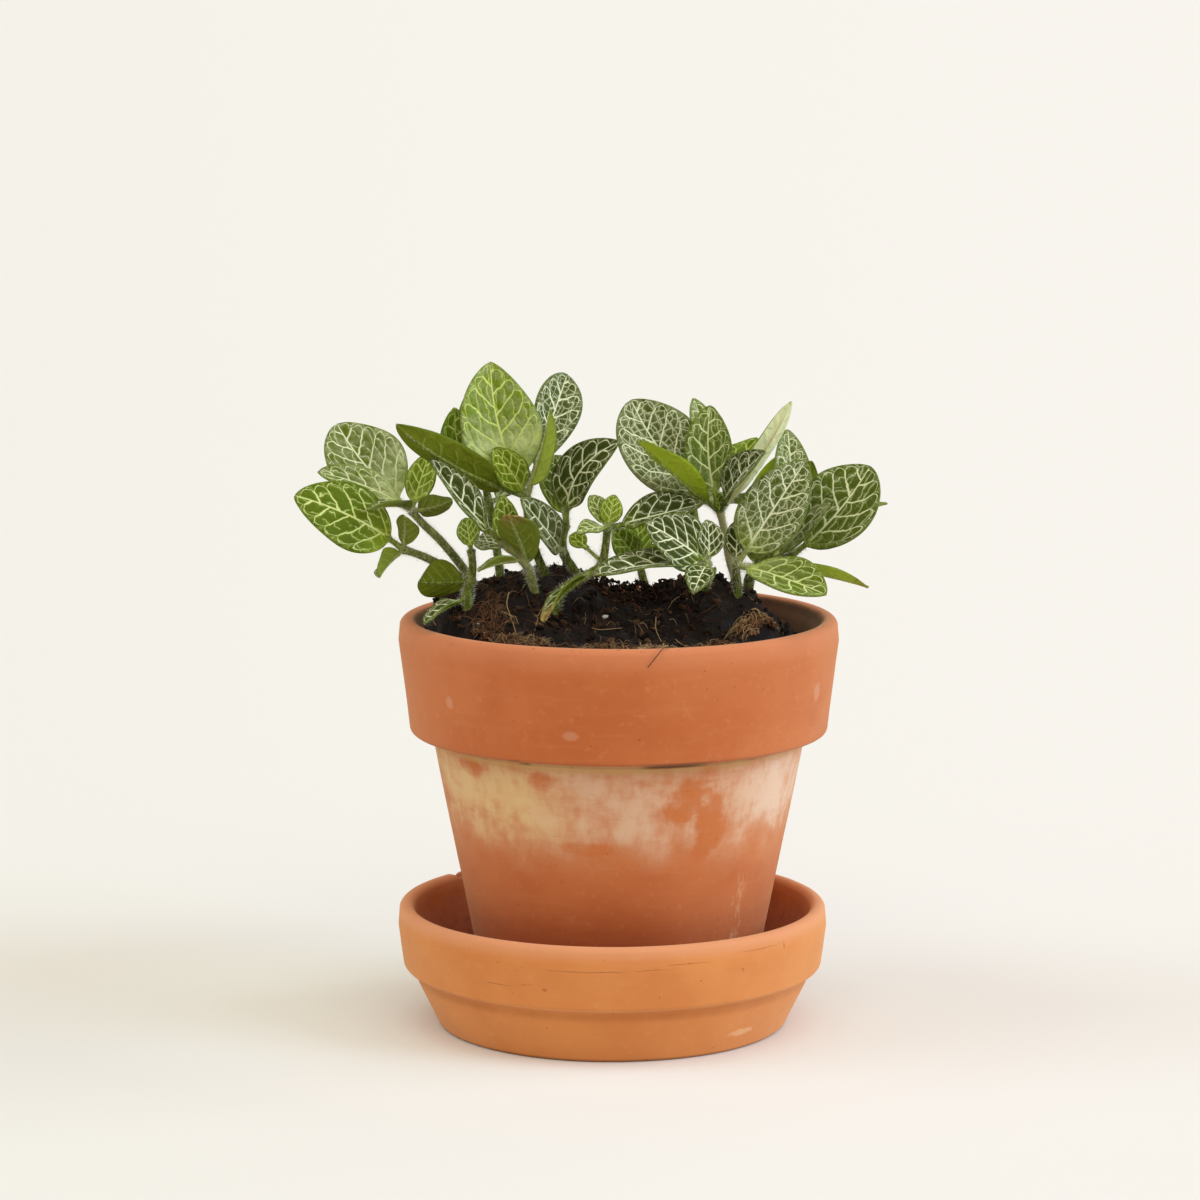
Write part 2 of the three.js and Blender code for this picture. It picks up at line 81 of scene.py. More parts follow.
class Finish:  # a material with one Principled shader
    def __init__(self, name, **constants):
        self.material = bpy.data.materials.new(name)
        self.material.use_nodes = True
        self.tree = self.material.node_tree
        self.shader = self.tree.nodes["Principled BSDF"]
        for socket, value in constants.items():
            self.shader.inputs[socket.replace("_", " ")].default_value = value

    def node(self, kind, settings, values, output=0):
        made = self.tree.nodes.new("ShaderNode" + kind)
        for key, value in settings.items():
            setattr(made, key, value)
        for key, value in values.items():
            self.connect(made.inputs[key], value)
        return Wire(self, made.outputs[output])

    def connect(self, socket, value):
        if isinstance(value, Wire):
            self.tree.links.new(value.socket, socket)
        else:
            socket.default_value = value

    def put(self, socket, value):
        self.connect(self.shader.inputs[socket], value)

    def place(self):  # the point in metres, the same in every view
        return self.node("TexCoord", {}, {}, "Object")

    def split(self, vector):
        return [self.node("SeparateXYZ", {}, {"Vector": vector}, axis) for axis in "XYZ"]

    def join(self, x, y, z=0.0):
        return self.node("CombineXYZ", {}, {"X": x, "Y": y, "Z": z})

    def turn(self, x, y):  # degrees to the right of the front
        return self.node("Math", {"operation": "ARCTAN2"}, {0: x, 1: y * -1}) * (180 / math.pi)

    def away(self, x, y):  # millimetres from the upright axis
        return self.node("VectorMath", {"operation": "LENGTH"}, {0: self.join(x, y)}, "Value") * 1000

    def read(self, name):  # the three numbers of an attribute
        return self.split(self.node("Attribute", {"attribute_name": name}, {}, "Vector"))

    def smooth(self, value, low, high):  # 0 below low, 1 above high
        values = {"Value": value, "From Min": low, "From Max": high}
        return self.node("MapRange", {"interpolation_type": "SMOOTHSTEP"}, values)

    def grain(self, where, size, detail=3.0, rough=0.55):  # noise with lumps of a size, 0 to 1
        values = {"Vector": where, "Scale": 1 / size, "Detail": detail, "Roughness": rough}
        return self.node("TexNoise", {}, values)

    def steps(self, along, ragged):  # how far it is to the nearest of a row of uneven marks
        settings = {"voronoi_dimensions": "1D", "feature": "DISTANCE_TO_EDGE"}
        return self.node("TexVoronoi", settings, {"W": along, "Scale": 1.0, "Randomness": ragged})

    def cells(self, where, size, ragged):  # how far it is to the nearest line of an uneven net
        settings = {"voronoi_dimensions": "2D", "feature": "DISTANCE_TO_EDGE"}
        values = {"Vector": where, "Scale": 1 / size, "Randomness": ragged}
        return self.node("TexVoronoi", settings, values) * size

    def mix(self, under, over, share):
        return self.node("Mix", {"data_type": "RGBA"}, {0: share, 6: under, 7: over}, 2)

    def most(self, first, *others):
        for other in others:
            first = first.math("MAXIMUM", first, other)
        return first

    def least(self, first, *others):
        for other in others:
            first = first.math("MINIMUM", first, other)
        return first

    def floor(self, value):
        return value.math("FLOOR", value)

    def bump(self, height, distance, strength=1.0):  # distance in millimetres
        values = {"Height": height, "Distance": distance * millimetre, "Strength": strength}
        return self.node("Bump", {}, values)


def keep(name, bm, finishes, replaced=()):  # makes a finished piece of a mesh in millimetres
    bmesh.ops.scale(bm, vec=[millimetre] * 3, verts=bm.verts)
    mesh = bpy.data.meshes.new(name)
    bm.to_mesh(mesh)
    bm.free()
    mesh.shade_smooth()
    for finish in finishes:
        mesh.materials.append(finish.material)
    piece = bpy.data.objects.new(name, mesh)
    scene.collection.objects.link(piece)
    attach(piece, "root")
    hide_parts(*replaced)
    return piece


def arc(x, z, radius, start, end, steps):
    angles = [start + (end - start) * i / steps for i in range(steps + 1)]
    return [(x + radius * math.cos(angle), z + radius * math.sin(angle)) for angle in angles]


def inOrder(bm):  # the same mesh with its faces in a fixed order, which spin leaves to chance
    bm.verts.index_update()
    rows = []
    for face in bm.faces:
        row = [vert.index for vert in face.verts]
        first = row.index(min(row))
        rows.append(row[first:] + row[:first])
    ordered = bmesh.new()
    points = [ordered.verts.new(vert.co) for vert in bm.verts]
    for row in sorted(rows):
        ordered.faces.new([points[i] for i in row])
    bm.free()
    return ordered


def turned(profile, gap, steps):  # a profile of radius and height, spun round the upright axis
    bm = bmesh.new()
    points = [bm.verts.new((profile[0][0], 0, profile[0][1]))]
    for (r0, z0), (r1, z1) in zip(profile, profile[1:]):
        parts = max(1, round(math.hypot(r1 - r0, z1 - z0) / gap))
        for i in range(1, parts + 1):
            points.append(bm.verts.new((r0 + (r1 - r0) * i / parts, 0, z0 + (z1 - z0) * i / parts)))
    for lower, upper in zip(points, points[1:]):
        bm.edges.new((lower, upper))
    whole = bm.verts[:] + bm.edges[:]
    bmesh.ops.spin(bm, geom=whole, axis=(0, 0, 1), angle=2 * math.pi, steps=steps, use_merge=True)
    bmesh.ops.remove_doubles(bm, verts=bm.verts, dist=0.001)
    bmesh.ops.recalc_face_normals(bm, faces=bm.faces)
    return inOrder(bm)


def pour(bm, part):  # adds a small mesh to a large one, which keeps each operator quick
    mesh = bpy.data.meshes.new("part")
    part.to_mesh(mesh)
    part.free()
    bm.from_mesh(mesh)
    bpy.data.meshes.remove(mesh)


def tube(bm, points, radii, sides, kind):  # a closed round tube through the points
    part = bmesh.new()
    last = len(points) - 1
    before = []
    for i, (point, radius) in enumerate(zip(points, radii)):
        ahead = points[min(i + 1, last)] - points[max(i - 1, 0)]
        place = Matrix.Translation(point) @ ahead.to_track_quat("Z", "Y").to_matrix().to_4x4()
        end = i in (0, last)
        ring = bmesh.ops.create_circle(part, cap_ends=end, segments=sides, radius=radius, matrix=place)
        edges = list(dict.fromkeys(edge for vert in ring["verts"] for edge in vert.link_edges))
        if before:
            bmesh.ops.bridge_loops(part, edges=before + edges)
        before = edges
    bmesh.ops.recalc_face_normals(part, faces=part.faces)
    layer = part.verts.layers.float_vector.new("kind")
    for vert in part.verts:
        vert[layer] = kind
    pour(bm, part)


def curveThrough(points, share):  # a smooth curve through the points, share from 0 to 1
    spot = share * (len(points) - 1)
    i = min(int(spot), len(points) - 2)
    t = spot - i
    p1, p2 = points[i], points[i + 1]
    p0 = points[i - 1] if i else 2 * p1 - p2
    p3 = points[i + 2] if i + 2 < len(points) else 2 * p2 - p1
    square = 2 * p0 - 5 * p1 + 4 * p2 - p3
    cube = 3 * p1 - p0 - 3 * p2 + p3
    return 0.5 * (2 * p1 + (p2 - p0) * t + square * t**2 + cube * t**3)


saucer = {
    "rimRadius": 63.8, "height": 36.2, "lipWidth": 4.6, "lipDepth": 6.5,
    "bandBottom": 17.3, "bandRadius": 62.3, "bandEdge": 1.4, "wallTop": 59.6,
    "baseRadius": 52.2, "baseEdge": 1.5, "floor": 6.5, "floorRadius": 47.5, "floorEdge": 3.6,
    "lipInset": 0.2, "groove": [(1.6, 4.2), (1.1, 2.2), (0.2, 0.7)],  # inward and below the band
    "chipAngle": 2.46, "chipReach": 3.1, "chipDepth": 2.2,
}
pot = {
    "centre": 1.9, "stand": 6.8, "top": 122.0, "rimRadius": 65.0, "lipWidth": 5.4, "lipDepth": 6.5,
    "collarBottom": 88.0, "collarRadius": 61.9, "collarEdge": 1.8, "bodyTop": 55.4,
    "baseRadius": 39.6, "baseEdge": 1.2, "wall": 5.6, "floor": 7.0, "drainRadius": 6.5,
    "lipInset": 0.25, "innerInset": 1.2, "innerTop": 5,
}
clay = {"steps": 192, "gap": 2.2, "unevenness": 0.16}
lipArc = (0.35, math.pi - 0.2, 12)  # where the rounding of a rim starts and ends, and its steps


def clayFinish(name, base, warm, pale):  # what the clay of the pot and of the saucer have in common
    dust = {"Sheen_Weight": 0.28, "Sheen_Roughness": 0.5, "Sheen_Tint": rgb(255, 228, 186)}
    finish = Finish(name, Roughness=0.9, Specular_IOR_Level=0.25, **dust)
    place = finish.place()
    x, y, z = finish.split(place)
    cloud = finish.grain(place, 0.024, 3.0)
    spots = finish.grain(place, 0.0026, 3.0, 0.65)
    throwing = finish.grain(finish.join(x * 0.12, y * 0.12, z), 0.0022, 4.0, 0.6)  # streaks that run round
    colour = finish.mix(base, warm, finish.smooth(cloud, 0.35, 0.7))
    colour = finish.mix(colour, pale, finish.smooth(throwing, 0.5, 0.8) * 0.1)
    colour = finish.mix(colour, pale, finish.smooth(spots, 0.55, 0.8) * 0.22)
    pits = finish.smooth(finish.grain(place, 0.0014, 1.0), 0.76, 0.8)
    colour = finish.mix(colour, rgb(110, 54, 32), pits * 0.5)
    height = throwing * 0.35 + finish.grain(place, 0.0009, 4.0, 0.7) * 0.35 - pits * 0.6
    return finish, place, (x, y, z), colour, height


def patch(finish, turn, z, centre, size, ragged, raggedness=0.5):  # an uneven blot at an angle and a height
    across = (turn - centre[0]) / size[0]
    up = (z - centre[1]) / size[1]
    away = across * across + up * up + (ragged - 0.5) * raggedness * 4
    return 1 - finish.smooth(away, 0.2, 1.25)


# Blots on the pot: degrees to the right of the front and height, half width and half height.
potLooks = {
    "clay": (rgb(194, 108, 60), rgb(186, 98, 51), rgb(218, 150, 104)),
    "lime": rgb(218, 180, 148), "limeLeft": rgb(220, 188, 134), "limeRight": rgb(226, 196, 170),
    "limeThin": rgb(206, 142, 102), "damp": rgb(158, 60, 22), "soiled": rgb(58, 32, 22),
    "limeBlots": [  # with how much more lime there is
        ((-60, 78), (16, 8), 0.4), ((-36, 79), (12, 6), 0.35), ((-28, 70), (16, 7), 0.35),
        ((-14, 66), (12, 6), 0.3), ((-3, 78), (13, 6), 0.35), ((5, 66), (7, 10), 0.45),
        ((13, 77), (8, 5), 0.25), ((58, 76), (22, 11), 0.5), ((-52, 83), (6, 3.5), -0.75),
        ((-12, 62), (9, 2.5), -0.7), ((21, 76), (7, 7), -0.7), ((30, 68), (6, 12), -0.7),
        ((-24, 82), (6, 3), -0.5),
    ],
    "smudges": [((-50, 103), (1.6, 2.0)), ((-13, 97), (2.4, 1.5)), ((64, 104), (2, 3))],
    "stain": ((-3, 14), (17, 11)), "salt": ((47, 34), (7, 22)), "wideCrack": ((16, 87), (11, 4)),
}


def potFinish():
    looks = potLooks
    finish, place, (x, y, z), colour, height = clayFinish("pot_clay", *looks["clay"])
    tall = z * 1000
    across = x - pot["centre"] * millimetre
    turn = finish.turn(across, y)
    rag = finish.grain(place, 0.013, 6.0, 0.62)
    fineRag = finish.grain(place, 0.0032, 5.0, 0.7)
    washed = finish.grain(finish.join(x, y, z * 0.35), 0.0045, 4.0, 0.65)  # runs that go down the wall
    scuffed = finish.grain(finish.join(x * 0.25, y * 0.25, z * 1.6), 0.0026, 4.0, 0.7)
    body = 1 - finish.smooth(tall, 87.2, 88.2)

    # lime that has come through the wall under the collar
    lime = rag * 2.3 + washed * 1.1 + scuffed * 0.7 - 1.62
    for centre, size, share in looks["limeBlots"]:
        lime = patch(finish, turn, tall, centre, size, rag) * share + lime
    zone = finish.smooth(tall + (rag - 0.5) * 22 + (washed - 0.5) * 10, 58, 72) * body
    haze = finish.smooth(tall + (rag - 0.5) * 18, 50, 66) * body
    thin = finish.smooth(lime, -0.5, 0.4) * haze
    thick = finish.smooth(lime + (fineRag - 0.5) * 0.9, -0.05, 1.15) * zone
    # the bloom is yellower at the left and pinker at the right
    yellow = 1 - finish.smooth(turn + (rag - 0.5) * 40, -34, -4)
    bloom = finish.mix(looks["lime"], looks["limeLeft"], yellow)
    bloom = finish.mix(bloom, looks["limeRight"], finish.smooth(turn, 34, 60))
    colour = finish.mix(colour, looks["limeThin"], thin * 0.7)
    colour = finish.mix(colour, bloom, thick * 0.85)
    colour = finish.mix(colour, rgb(176, 104, 60), finish.smooth(scuffed, 0.62, 0.74) * thick * 0.4)
    warm = body * (1 - thin) * finish.smooth(tall, 50, 66)
    colour = finish.mix(colour, rgb(202, 118, 62), warm * 0.5)

    # the lower body is damp and stained, with a run of salt at the right
    damp = (1 - finish.smooth(tall + (rag - 0.5) * 12, 20, 42)) * body
    damp = damp * (1 - finish.smooth(turn, 5, 45) * 0.5)
    colour = finish.mix(colour, looks["damp"], damp * 0.85)
    stain = patch(finish, turn, tall, *looks["stain"], fineRag, 0.4)
    colour = finish.mix(colour, rgb(112, 50, 34), stain * 0.6)
    salt = patch(finish, turn, tall, *looks["salt"], washed, 0.9) * finish.smooth(washed, 0.5, 0.62)
    colour = finish.mix(colour, rgb(222, 170, 126), salt * 0.6)

    # the corner under the collar is ochre and cracked, with a thin band of painted shade all along it
    under = finish.smooth(tall, 85.9, 86.6) * (1 - finish.smooth(tall, 88.2, 89.2))
    ochre = finish.smooth(tall, 84.0, 85.6) * (1 - finish.smooth(tall, 86.8, 87.4))
    colour = finish.mix(colour, rgb(198, 156, 96), ochre * finish.smooth(rag, 0.3, 0.5) * 0.7)
    gap = finish.grain(finish.join(turn * 0.001, 0.0), 0.012, 3.0)
    wide = patch(finish, turn, tall, *looks["wideCrack"], rag, 0.2)
    cracksAndShade = finish.most(finish.smooth(gap, 0.52, 0.68) * 0.8, wide)
    # painted shade along the whole corner under the collar, darker still at the cracks
    cracksAndShade = under * (cracksAndShade * 0.7 + 0.3)
    colour = finish.mix(colour, rgb(84, 38, 20), cracksAndShade * 0.85)

    collar = finish.smooth(tall, 88.5, 90)
    for centre, size in looks["smudges"]:
        smudge = patch(finish, turn, tall, centre, size, fineRag)
        colour = finish.mix(colour, rgb(214, 166, 138), smudge * collar * 0.3)
    lip = finish.smooth(tall, 113, 121.5)
    colour = finish.mix(colour, rgb(204, 130, 92), lip * 0.5)

    # the inner wall is soiled, and specks of soil lie on the rim
    away = finish.away(across, y) + (tall - pot["top"]) * -0.2 + (fineRag - 0.5)
    inside = (1 - finish.smooth(away, 59.9, 61.2)) * finish.smooth(tall, 60, 80)
    colour = finish.mix(colour, looks["soiled"], inside * (rag * 0.3 + 0.75))
    specks = finish.smooth(finish.grain(place, 0.0013, 3.0, 0.7), 0.62, 0.72)
    colour = finish.mix(colour, rgb(66, 40, 28), specks * finish.smooth(tall, 119.6, 121.6) * 0.7)

    finish.put("Base Color", colour)
    finish.put("Roughness", 0.94 - thick * 0.05)
    finish.put("Normal", finish.bump(height + thick * 0.3, 0.22, 0.7))
    return finish


saucerLooks = {
    "clay": (rgb(214, 136, 74), rgb(206, 126, 66), rgb(228, 164, 110)),
    "lip": rgb(218, 150, 110), "soaked": rgb(168, 90, 62), "groove": rgb(170, 96, 50),
    "foot": rgb(120, 62, 34), "fresh": rgb(150, 78, 50), "lime": rgb(236, 196, 156),
    "scratches": [  # placed as the blots on the pot
        ((-6, 29.4), (12, 0.14)), ((9, 29.8), (5, 0.1)), ((-31, 23.9), (4, 0.14)), ((-23, 24.6), (2, 0.1)),
        ((42, 32.4), (8, 0.1)), ((20, 31), (6, 0.1)), ((-18, 23.4), (0.8, 0.6)), ((51, 31.5), (0.4, 1.5)),
    ],
    "limeBlot": ((43, 6), (5, 1.1)),
}


def saucerFinish():
    looks = saucerLooks
    finish, place, (x, y, z), colour, height = clayFinish("saucer_clay", *looks["clay"])
    tall = z * 1000
    turn = finish.turn(x, y)
    rag = finish.grain(place, 0.01, 4.0, 0.6)
    fineRag = finish.grain(place, 0.003, 4.0, 0.7)
    lip = finish.smooth(tall, 31, 35.5)
    colour = finish.mix(colour, looks["lip"], lip * 0.7)
    inside = (1 - finish.smooth(finish.away(x, y) - tall * 0.42, 47.9, 49.1)) * finish.smooth(tall, 4, 6)
    soaked = inside * (1 - finish.smooth(tall + rag * 8, 30, 39))
    colour = finish.mix(colour, looks["soaked"], soaked * 0.85)
    colour = finish.mix(colour, rgb(96, 58, 44), soaked * finish.smooth(fineRag, 0.5, 0.75) * 0.5)

    # fine scratches that run round the band
    for centre, size in looks["scratches"]:
        mark = patch(finish, turn, tall + rag * 1.6 - 0.8, centre, size, fineRag, 0.9)
        colour = finish.mix(colour, rgb(150, 82, 48), mark * 0.45)
        height = height - mark * 0.9
    groove = finish.smooth(tall, 12.6, 14.6) * (1 - finish.smooth(tall, 15.6, 17.6))
    colour = finish.mix(colour, looks["groove"], groove * (rag * 0.5 + 0.1))
    foot = 1 - finish.smooth(tall, 0.2, 1.2)
    colour = finish.mix(colour, looks["foot"], foot * 0.6)
    bloom = patch(finish, turn, tall, *looks["limeBlot"], fineRag, 0.8)
    colour = finish.mix(colour, looks["lime"], bloom * 0.4)
    fresh = finish.smooth(finish.node("Attribute", {"attribute_name": "fresh"}, {}, "Fac"), 0.1, 0.6)
    colour = finish.mix(colour, looks["fresh"], fresh * 0.8)  # where the chip has bared the clay

    finish.put("Base Color", colour)
    finish.put("Roughness", 0.93 - lip * 0.04)
    finish.put("Normal", finish.bump(height, 0.22, 0.7))
    return finish


def uneven(bm):  # clay turned by hand is never quite round
    for vert in bm.verts:
        push = noise.noise(vert.co * 0.035) + 0.5 * noise.noise(vert.co * 0.11)
        out = Vector((vert.co.x, vert.co.y, 0))
        if out.length > 20:
            vert.co += out.normalized() * push * clay["unevenness"]


def potInside(z):  # inside radius at a height
    high = pot["rimRadius"] - pot["lipWidth"] - pot["innerInset"]
    low = pot["baseRadius"] - pot["wall"]
    return low + (high - low) * (z - pot["stand"]) / (pot["top"] - pot["stand"])


def makePot():
    p = pot
    lip = p["lipWidth"] / 2
    edge = p["collarEdge"]
    ledge = p["stand"] + p["floor"]
    inner = p["top"] - p["innerTop"]
    down = -math.pi / 2
    profile = [
        (p["drainRadius"], p["stand"]),
        *arc(p["baseRadius"] - p["baseEdge"], p["stand"] + p["baseEdge"], p["baseEdge"], down, 0, 5),
        (p["bodyTop"], p["collarBottom"]),
        *arc(p["collarRadius"] - edge, p["collarBottom"] + edge, edge, down, 0, 7),
        (p["rimRadius"], p["top"] - p["lipDepth"]),
        *arc(p["rimRadius"] - lip - p["lipInset"], p["top"] - lip, lip, *lipArc),
        (potInside(inner), inner),
        (potInside(ledge), ledge),
        (p["drainRadius"], ledge),
        (p["drainRadius"], p["stand"]),
    ]
    bm = turned(profile, clay["gap"], clay["steps"])
    uneven(bm)
    bmesh.ops.translate(bm, vec=(p["centre"], 0, 0), verts=bm.verts)
    keep("clay_pot", bm, [potFinish()], ["pot"])
    print("pot made")


def makeSaucer():
    s = saucer
    lip = s["lipWidth"] / 2
    down = -math.pi / 2
    profile = [
        (0, 0),
        *arc(s["baseRadius"] - s["baseEdge"], s["baseEdge"], s["baseEdge"], down, -0.3, 5),
        *[(s["wallTop"] - inward, s["bandBottom"] - below) for inward, below in s["groove"]],
        *arc(s["bandRadius"] - s["bandEdge"], s["bandBottom"] + s["bandEdge"], s["bandEdge"], down, 0, 6),
        (s["rimRadius"], s["height"] - s["lipDepth"]),
        *arc(s["rimRadius"] - lip - s["lipInset"], s["height"] - lip, lip, *lipArc),
        (s["rimRadius"] - s["lipWidth"] - 0.6, s["height"] - s["lipDepth"]),
        (s["floorRadius"] + 2.2, s["floor"] + 5),
        *arc(s["floorRadius"] - 2, s["floor"] + s["floorEdge"], s["floorEdge"], -0.4, down, 5),
        (0, s["floor"]),
    ]
    bm = turned(profile, clay["gap"], clay["steps"])
    uneven(bm)

    # the chip: a finer patch of the rim, broken down and roughened
    reach = s["rimRadius"] - lip
    chip = Vector((reach * math.cos(s["chipAngle"]), reach * math.sin(s["chipAngle"]), s["height"] + 0.6))
    for cuts in (1, 2):
        near = [edge for edge in bm.edges if (edge.verts[0].co - chip).length < s["chipReach"] + 3 / cuts]
        bmesh.ops.subdivide_edges(bm, edges=near, cuts=cuts, use_grid_fill=True)
    fresh = bm.verts.layers.float.new("fresh")
    for vert in bm.verts:
        away = (vert.co - chip).length / s["chipReach"]
        if away < 1.3:
            bite = max(0, 1 - away**2 + 0.45 * noise.noise(vert.co * 0.9)) ** 0.6
            vert.co.z -= s["chipDepth"] * bite
            vert[fresh] = bite
    keep("clay_saucer", bm, [saucerFinish()], ["saucer"])
    print("saucer made")


soil = {
    "rimLevel": 118.6, "lump": 0.55, "wallGap": 0.35, "depth": 22, "steps": 180, "gap": 0.9,
    "edgeWidth": 2, "edgeRise": 1.2,  # how little the soil may rise near the wall
    # mounds and hollows: x, y, reach, rise
    "mounds": [
        (-31, -8, 27, 14.2), (32.5, -3.5, 19.5, 14.4), (-2, -4, 24, 8.2),
        (42, -35, 8.5, 6), (60, 8, 20, -13),
    ],
}


def soilHeight(x, y):
    crumbs = math.sin(0.53 * x + 1.3) * math.cos(0.61 * y - 0.4)
    crumbs += 0.6 * math.sin(1.07 * x - 0.9 * y + 2.1) + 0.4 * math.sin(1.9 * y + 0.7 * x)
    height = soil["rimLevel"] + soil["lump"] * crumbs
    for moundX, moundY, reach, rise in soil["mounds"]:
        height += rise * math.exp(-((math.hypot(x - moundX, y - moundY) / reach) ** 3))
    return height


def groundHeight(x, y):  # the soil's surface with its finer lumps
    coarse = noise.fractal(Vector((x, y, 3.7)) * 0.28, 0.9, 2.0, 4)
    fine = abs(noise.noise(Vector((x, y, 9.1)) * 0.9))
    return soilHeight(x, y) + 1.1 * coarse - 0.7 * fine


def earthFinish():
    finish = Finish("damp_soil", Specular_IOR_Level=0.3)
    place = finish.place()
    lumps = finish.grain(place, 0.005, 5.0, 0.7)
    fine = finish.grain(place, 0.001, 4.0, 0.75)
    wet = finish.smooth(finish.grain(place, 0.014, 2.0), 0.52, 0.64)
    colour = finish.mix(rgb(24, 15, 10), rgb(56, 36, 24), finish.smooth(lumps, 0.45, 0.68))
    colour = finish.mix(colour, rgb(100, 64, 40), finish.smooth(fine, 0.6, 0.75) * 0.5)
    finish.put("Base Color", finish.mix(colour, rgb(18, 12, 10), wet * 0.6))
    finish.put("Roughness", 0.95 - wet * 0.4)
    finish.put("Normal", finish.bump(fine + lumps * 0.5, 0.9, 1.0))
    return finish


def crumbFinish():
    finish = Finish("soil_crumbs", Roughness=0.95, Specular_IOR_Level=0.2)
    tone, wood, white = finish.read("kind")
    fine = finish.grain(finish.place(), 0.0007, 3.0, 0.7)
    colour = finish.mix(rgb(24, 15, 10), rgb(134, 98, 66), tone)
    colour = finish.mix(colour, rgb(110, 66, 40), wood * (fine * 0.9 + 0.1))
    colour = finish.mix(colour, rgb(20, 13, 9), finish.smooth(fine, 0.5, 0.68) * 0.7)
    finish.put("Base Color", finish.mix(colour, rgb(236, 232, 222), white))
    finish.put("Normal", finish.bump(fine, 0.6, 1.0))
    return finish


def fibreFinish():
    finish = Finish("soil_fibres", Roughness=0.8, Specular_IOR_Level=0.2)
    tone, red, _ = finish.read("kind")
    colour = finish.mix(rgb(66, 42, 27), rgb(206, 172, 122), tone)
    finish.put("Base Color", finish.mix(colour, rgb(112, 60, 36), red))
    return finish


def toWall(vert, flat, reach):  # moves a point of the soil to a distance from the pot's middle
    vert.co.x = pot["centre"] + flat.x * reach / flat.length
    vert.co.y = flat.y * reach / flat.length


def makeSoil():
    top = soil["rimLevel"]
    edge = potInside(top) - soil["wallGap"]
    low = top - soil["depth"]
    profile = [(0, top), (edge, top), (potInside(low) - soil["wallGap"], low), (0, low)]
    bm = turned(profile, soil["gap"], soil["steps"])
    bmesh.ops.translate(bm, vec=(pot["centre"], 0, 0), verts=bm.verts)
    for vert in bm.verts:
        sink = (vert.co.z - low) / soil["depth"]
        flat = Vector((vert.co.x - pot["centre"], vert.co.y))
        height = groundHeight(vert.co.x, vert.co.y)
        if flat.length > edge - soil["edgeWidth"]:
            height = min(height, top + soil["edgeRise"])
        if sink > 0.999:  # on the surface
            vert.co.z = height
            reach = potInside(height) - soil["wallGap"]
            if flat.length > reach:
                toWall(vert, flat, reach)
        elif flat.length > potInside(low):  # on the side
            vert.co.z = low + (height - low) * sink
            toWall(vert, flat, potInside(vert.co.z) - soil["wallGap"])
    bmesh.ops.recalc_face_normals(bm, faces=bm.faces)
    keep("potting_soil", bm, [earthFinish()], ["soil"])
    print("soil made")


def spotOnSoil(spread):  # a random point on the soil, spread being the share of it that is used
    turn = chance.uniform(0, 2 * math.pi)
    away = (potInside(soil["rimLevel"]) - litter["strewnFrom"]) * spread * math.sqrt(chance.random())
    x = pot["centre"] + away * math.cos(turn)
    y = away * math.sin(turn)
    return Vector((x, y, groundHeight(x, y)))


litter = {
    "crumbs": 2200, "small": 0.25, "large": 1.15, "fibres": 620, "thin": 0.05, "thick": 0.12,
    "crumbSpread": 0.97, "fibreSpread": 0.93, "rootRadius": 0.17, "twigRadius": 0.26,
    "strewnFrom": 1.5, "keptFrom": 1.2,  # inward from the pot's wall
    # clumps of bark and fibre: x, y, half width, half depth, height, crumbs, fibres, paleness
    "clumps": [
        (-35, -31, 2.2, 9, 2.6, 130, 170, 0.2),
        (-29, -43, 4.5, 3, 3.0, 120, 110, 0.42),
        (-21.5, -45, 4.0, 3, 2.6, 100, 100, 0.5),
        (-40, -39, 4, 3, 1.5, 50, 40, 0.3),
        (42.5, -36, 6.5, 5, 3.2, 240, 260, 0.62),
        (39, -34, 3.5, 3, 4.2, 20, 50, 1.0),
        (13, -50, 6, 3, 3.0, 60, 110, 0.75),
        (-1, -49.5, 12, 3.5, 3.4, 220, 170, 0.45),
        (28, -47, 7, 3.4, 2.8, 120, 90, 0.4),
        (-47, -30, 4, 5, 1.5, 50, 50, 0.3),
        (-14, 44, 9, 5, 2.0, 90, 90, 0.4),
        (26, 40, 6, 5, 2.0, 80, 80, 0.4),
        (3, -6, 16, 9, 4.8, 520, 40, 0.05),
    ],
    # bits of perlite and a chip of wood: x, y, radius
    "perlite": [
        (7.9, -40, 0.7), (-38.6, -33, 0.6), (-2.5, -25, 1.0), (12, 30, 1.1), (-20, 38, 0.8), (40, 20, 0.9),
    ],
    "chip": (32, -45, 1.3),
    # the longer roots, as points on the soil with their height above it
    "roots": [
        [(-30, -24, 2), (-30.5, -29, 2.4), (-29, -33, 1.2), (-27.6, -38, 0.6)],
        [(12.6, -22, 2.5), (12.5, -28, 1.6), (14.5, -36, 0.8), (17, -44, 0.5)],
        [(-6, -30, 0.6), (-3.5, -32, 1.6), (2.7, -31, 1.4)],
        [(18, -33, 1.2), (20, -37, 0.6), (22.5, -42, 0.5)],
        [(10, -47, 0.6), (16, -50, 1.4), (24, -49, 1.0), (29, -47, 0.5)],
        [(-54, -18, 2), (-53.5, -23, 3.0), (-51, -28, 1)],
        [(5, 30, 1), (0, 36, 2), (-8, 40, 0.6)],
    ],
    # one thin twig lies over the front of the rim
    "twig": [
        (19, -54, 120.6), (16.7, -58, 121.6), (14.6, -61.8, 122.5), (13.0, -64.3, 121.3), (9.7, -65.0, 117.2),
    ],
}


def insideRim(x, y):
    return math.hypot(x - pot["centre"], y) < potInside(soil["rimLevel"]) - litter["keptFrom"]


def spotInDome(dome, fill):  # a random point in the low dome of a clump
    x, y, across, along, height = dome
    turn = chance.uniform(0, 2 * math.pi)
    away = math.sqrt(chance.random())
    spot = Vector((x + across * away * math.cos(turn), y + along * away * math.sin(turn), 0))
    spot.z = groundHeight(spot.x, spot.y) + height * (1 - away**2) * fill * chance.uniform(0.5, 1)
    return spot


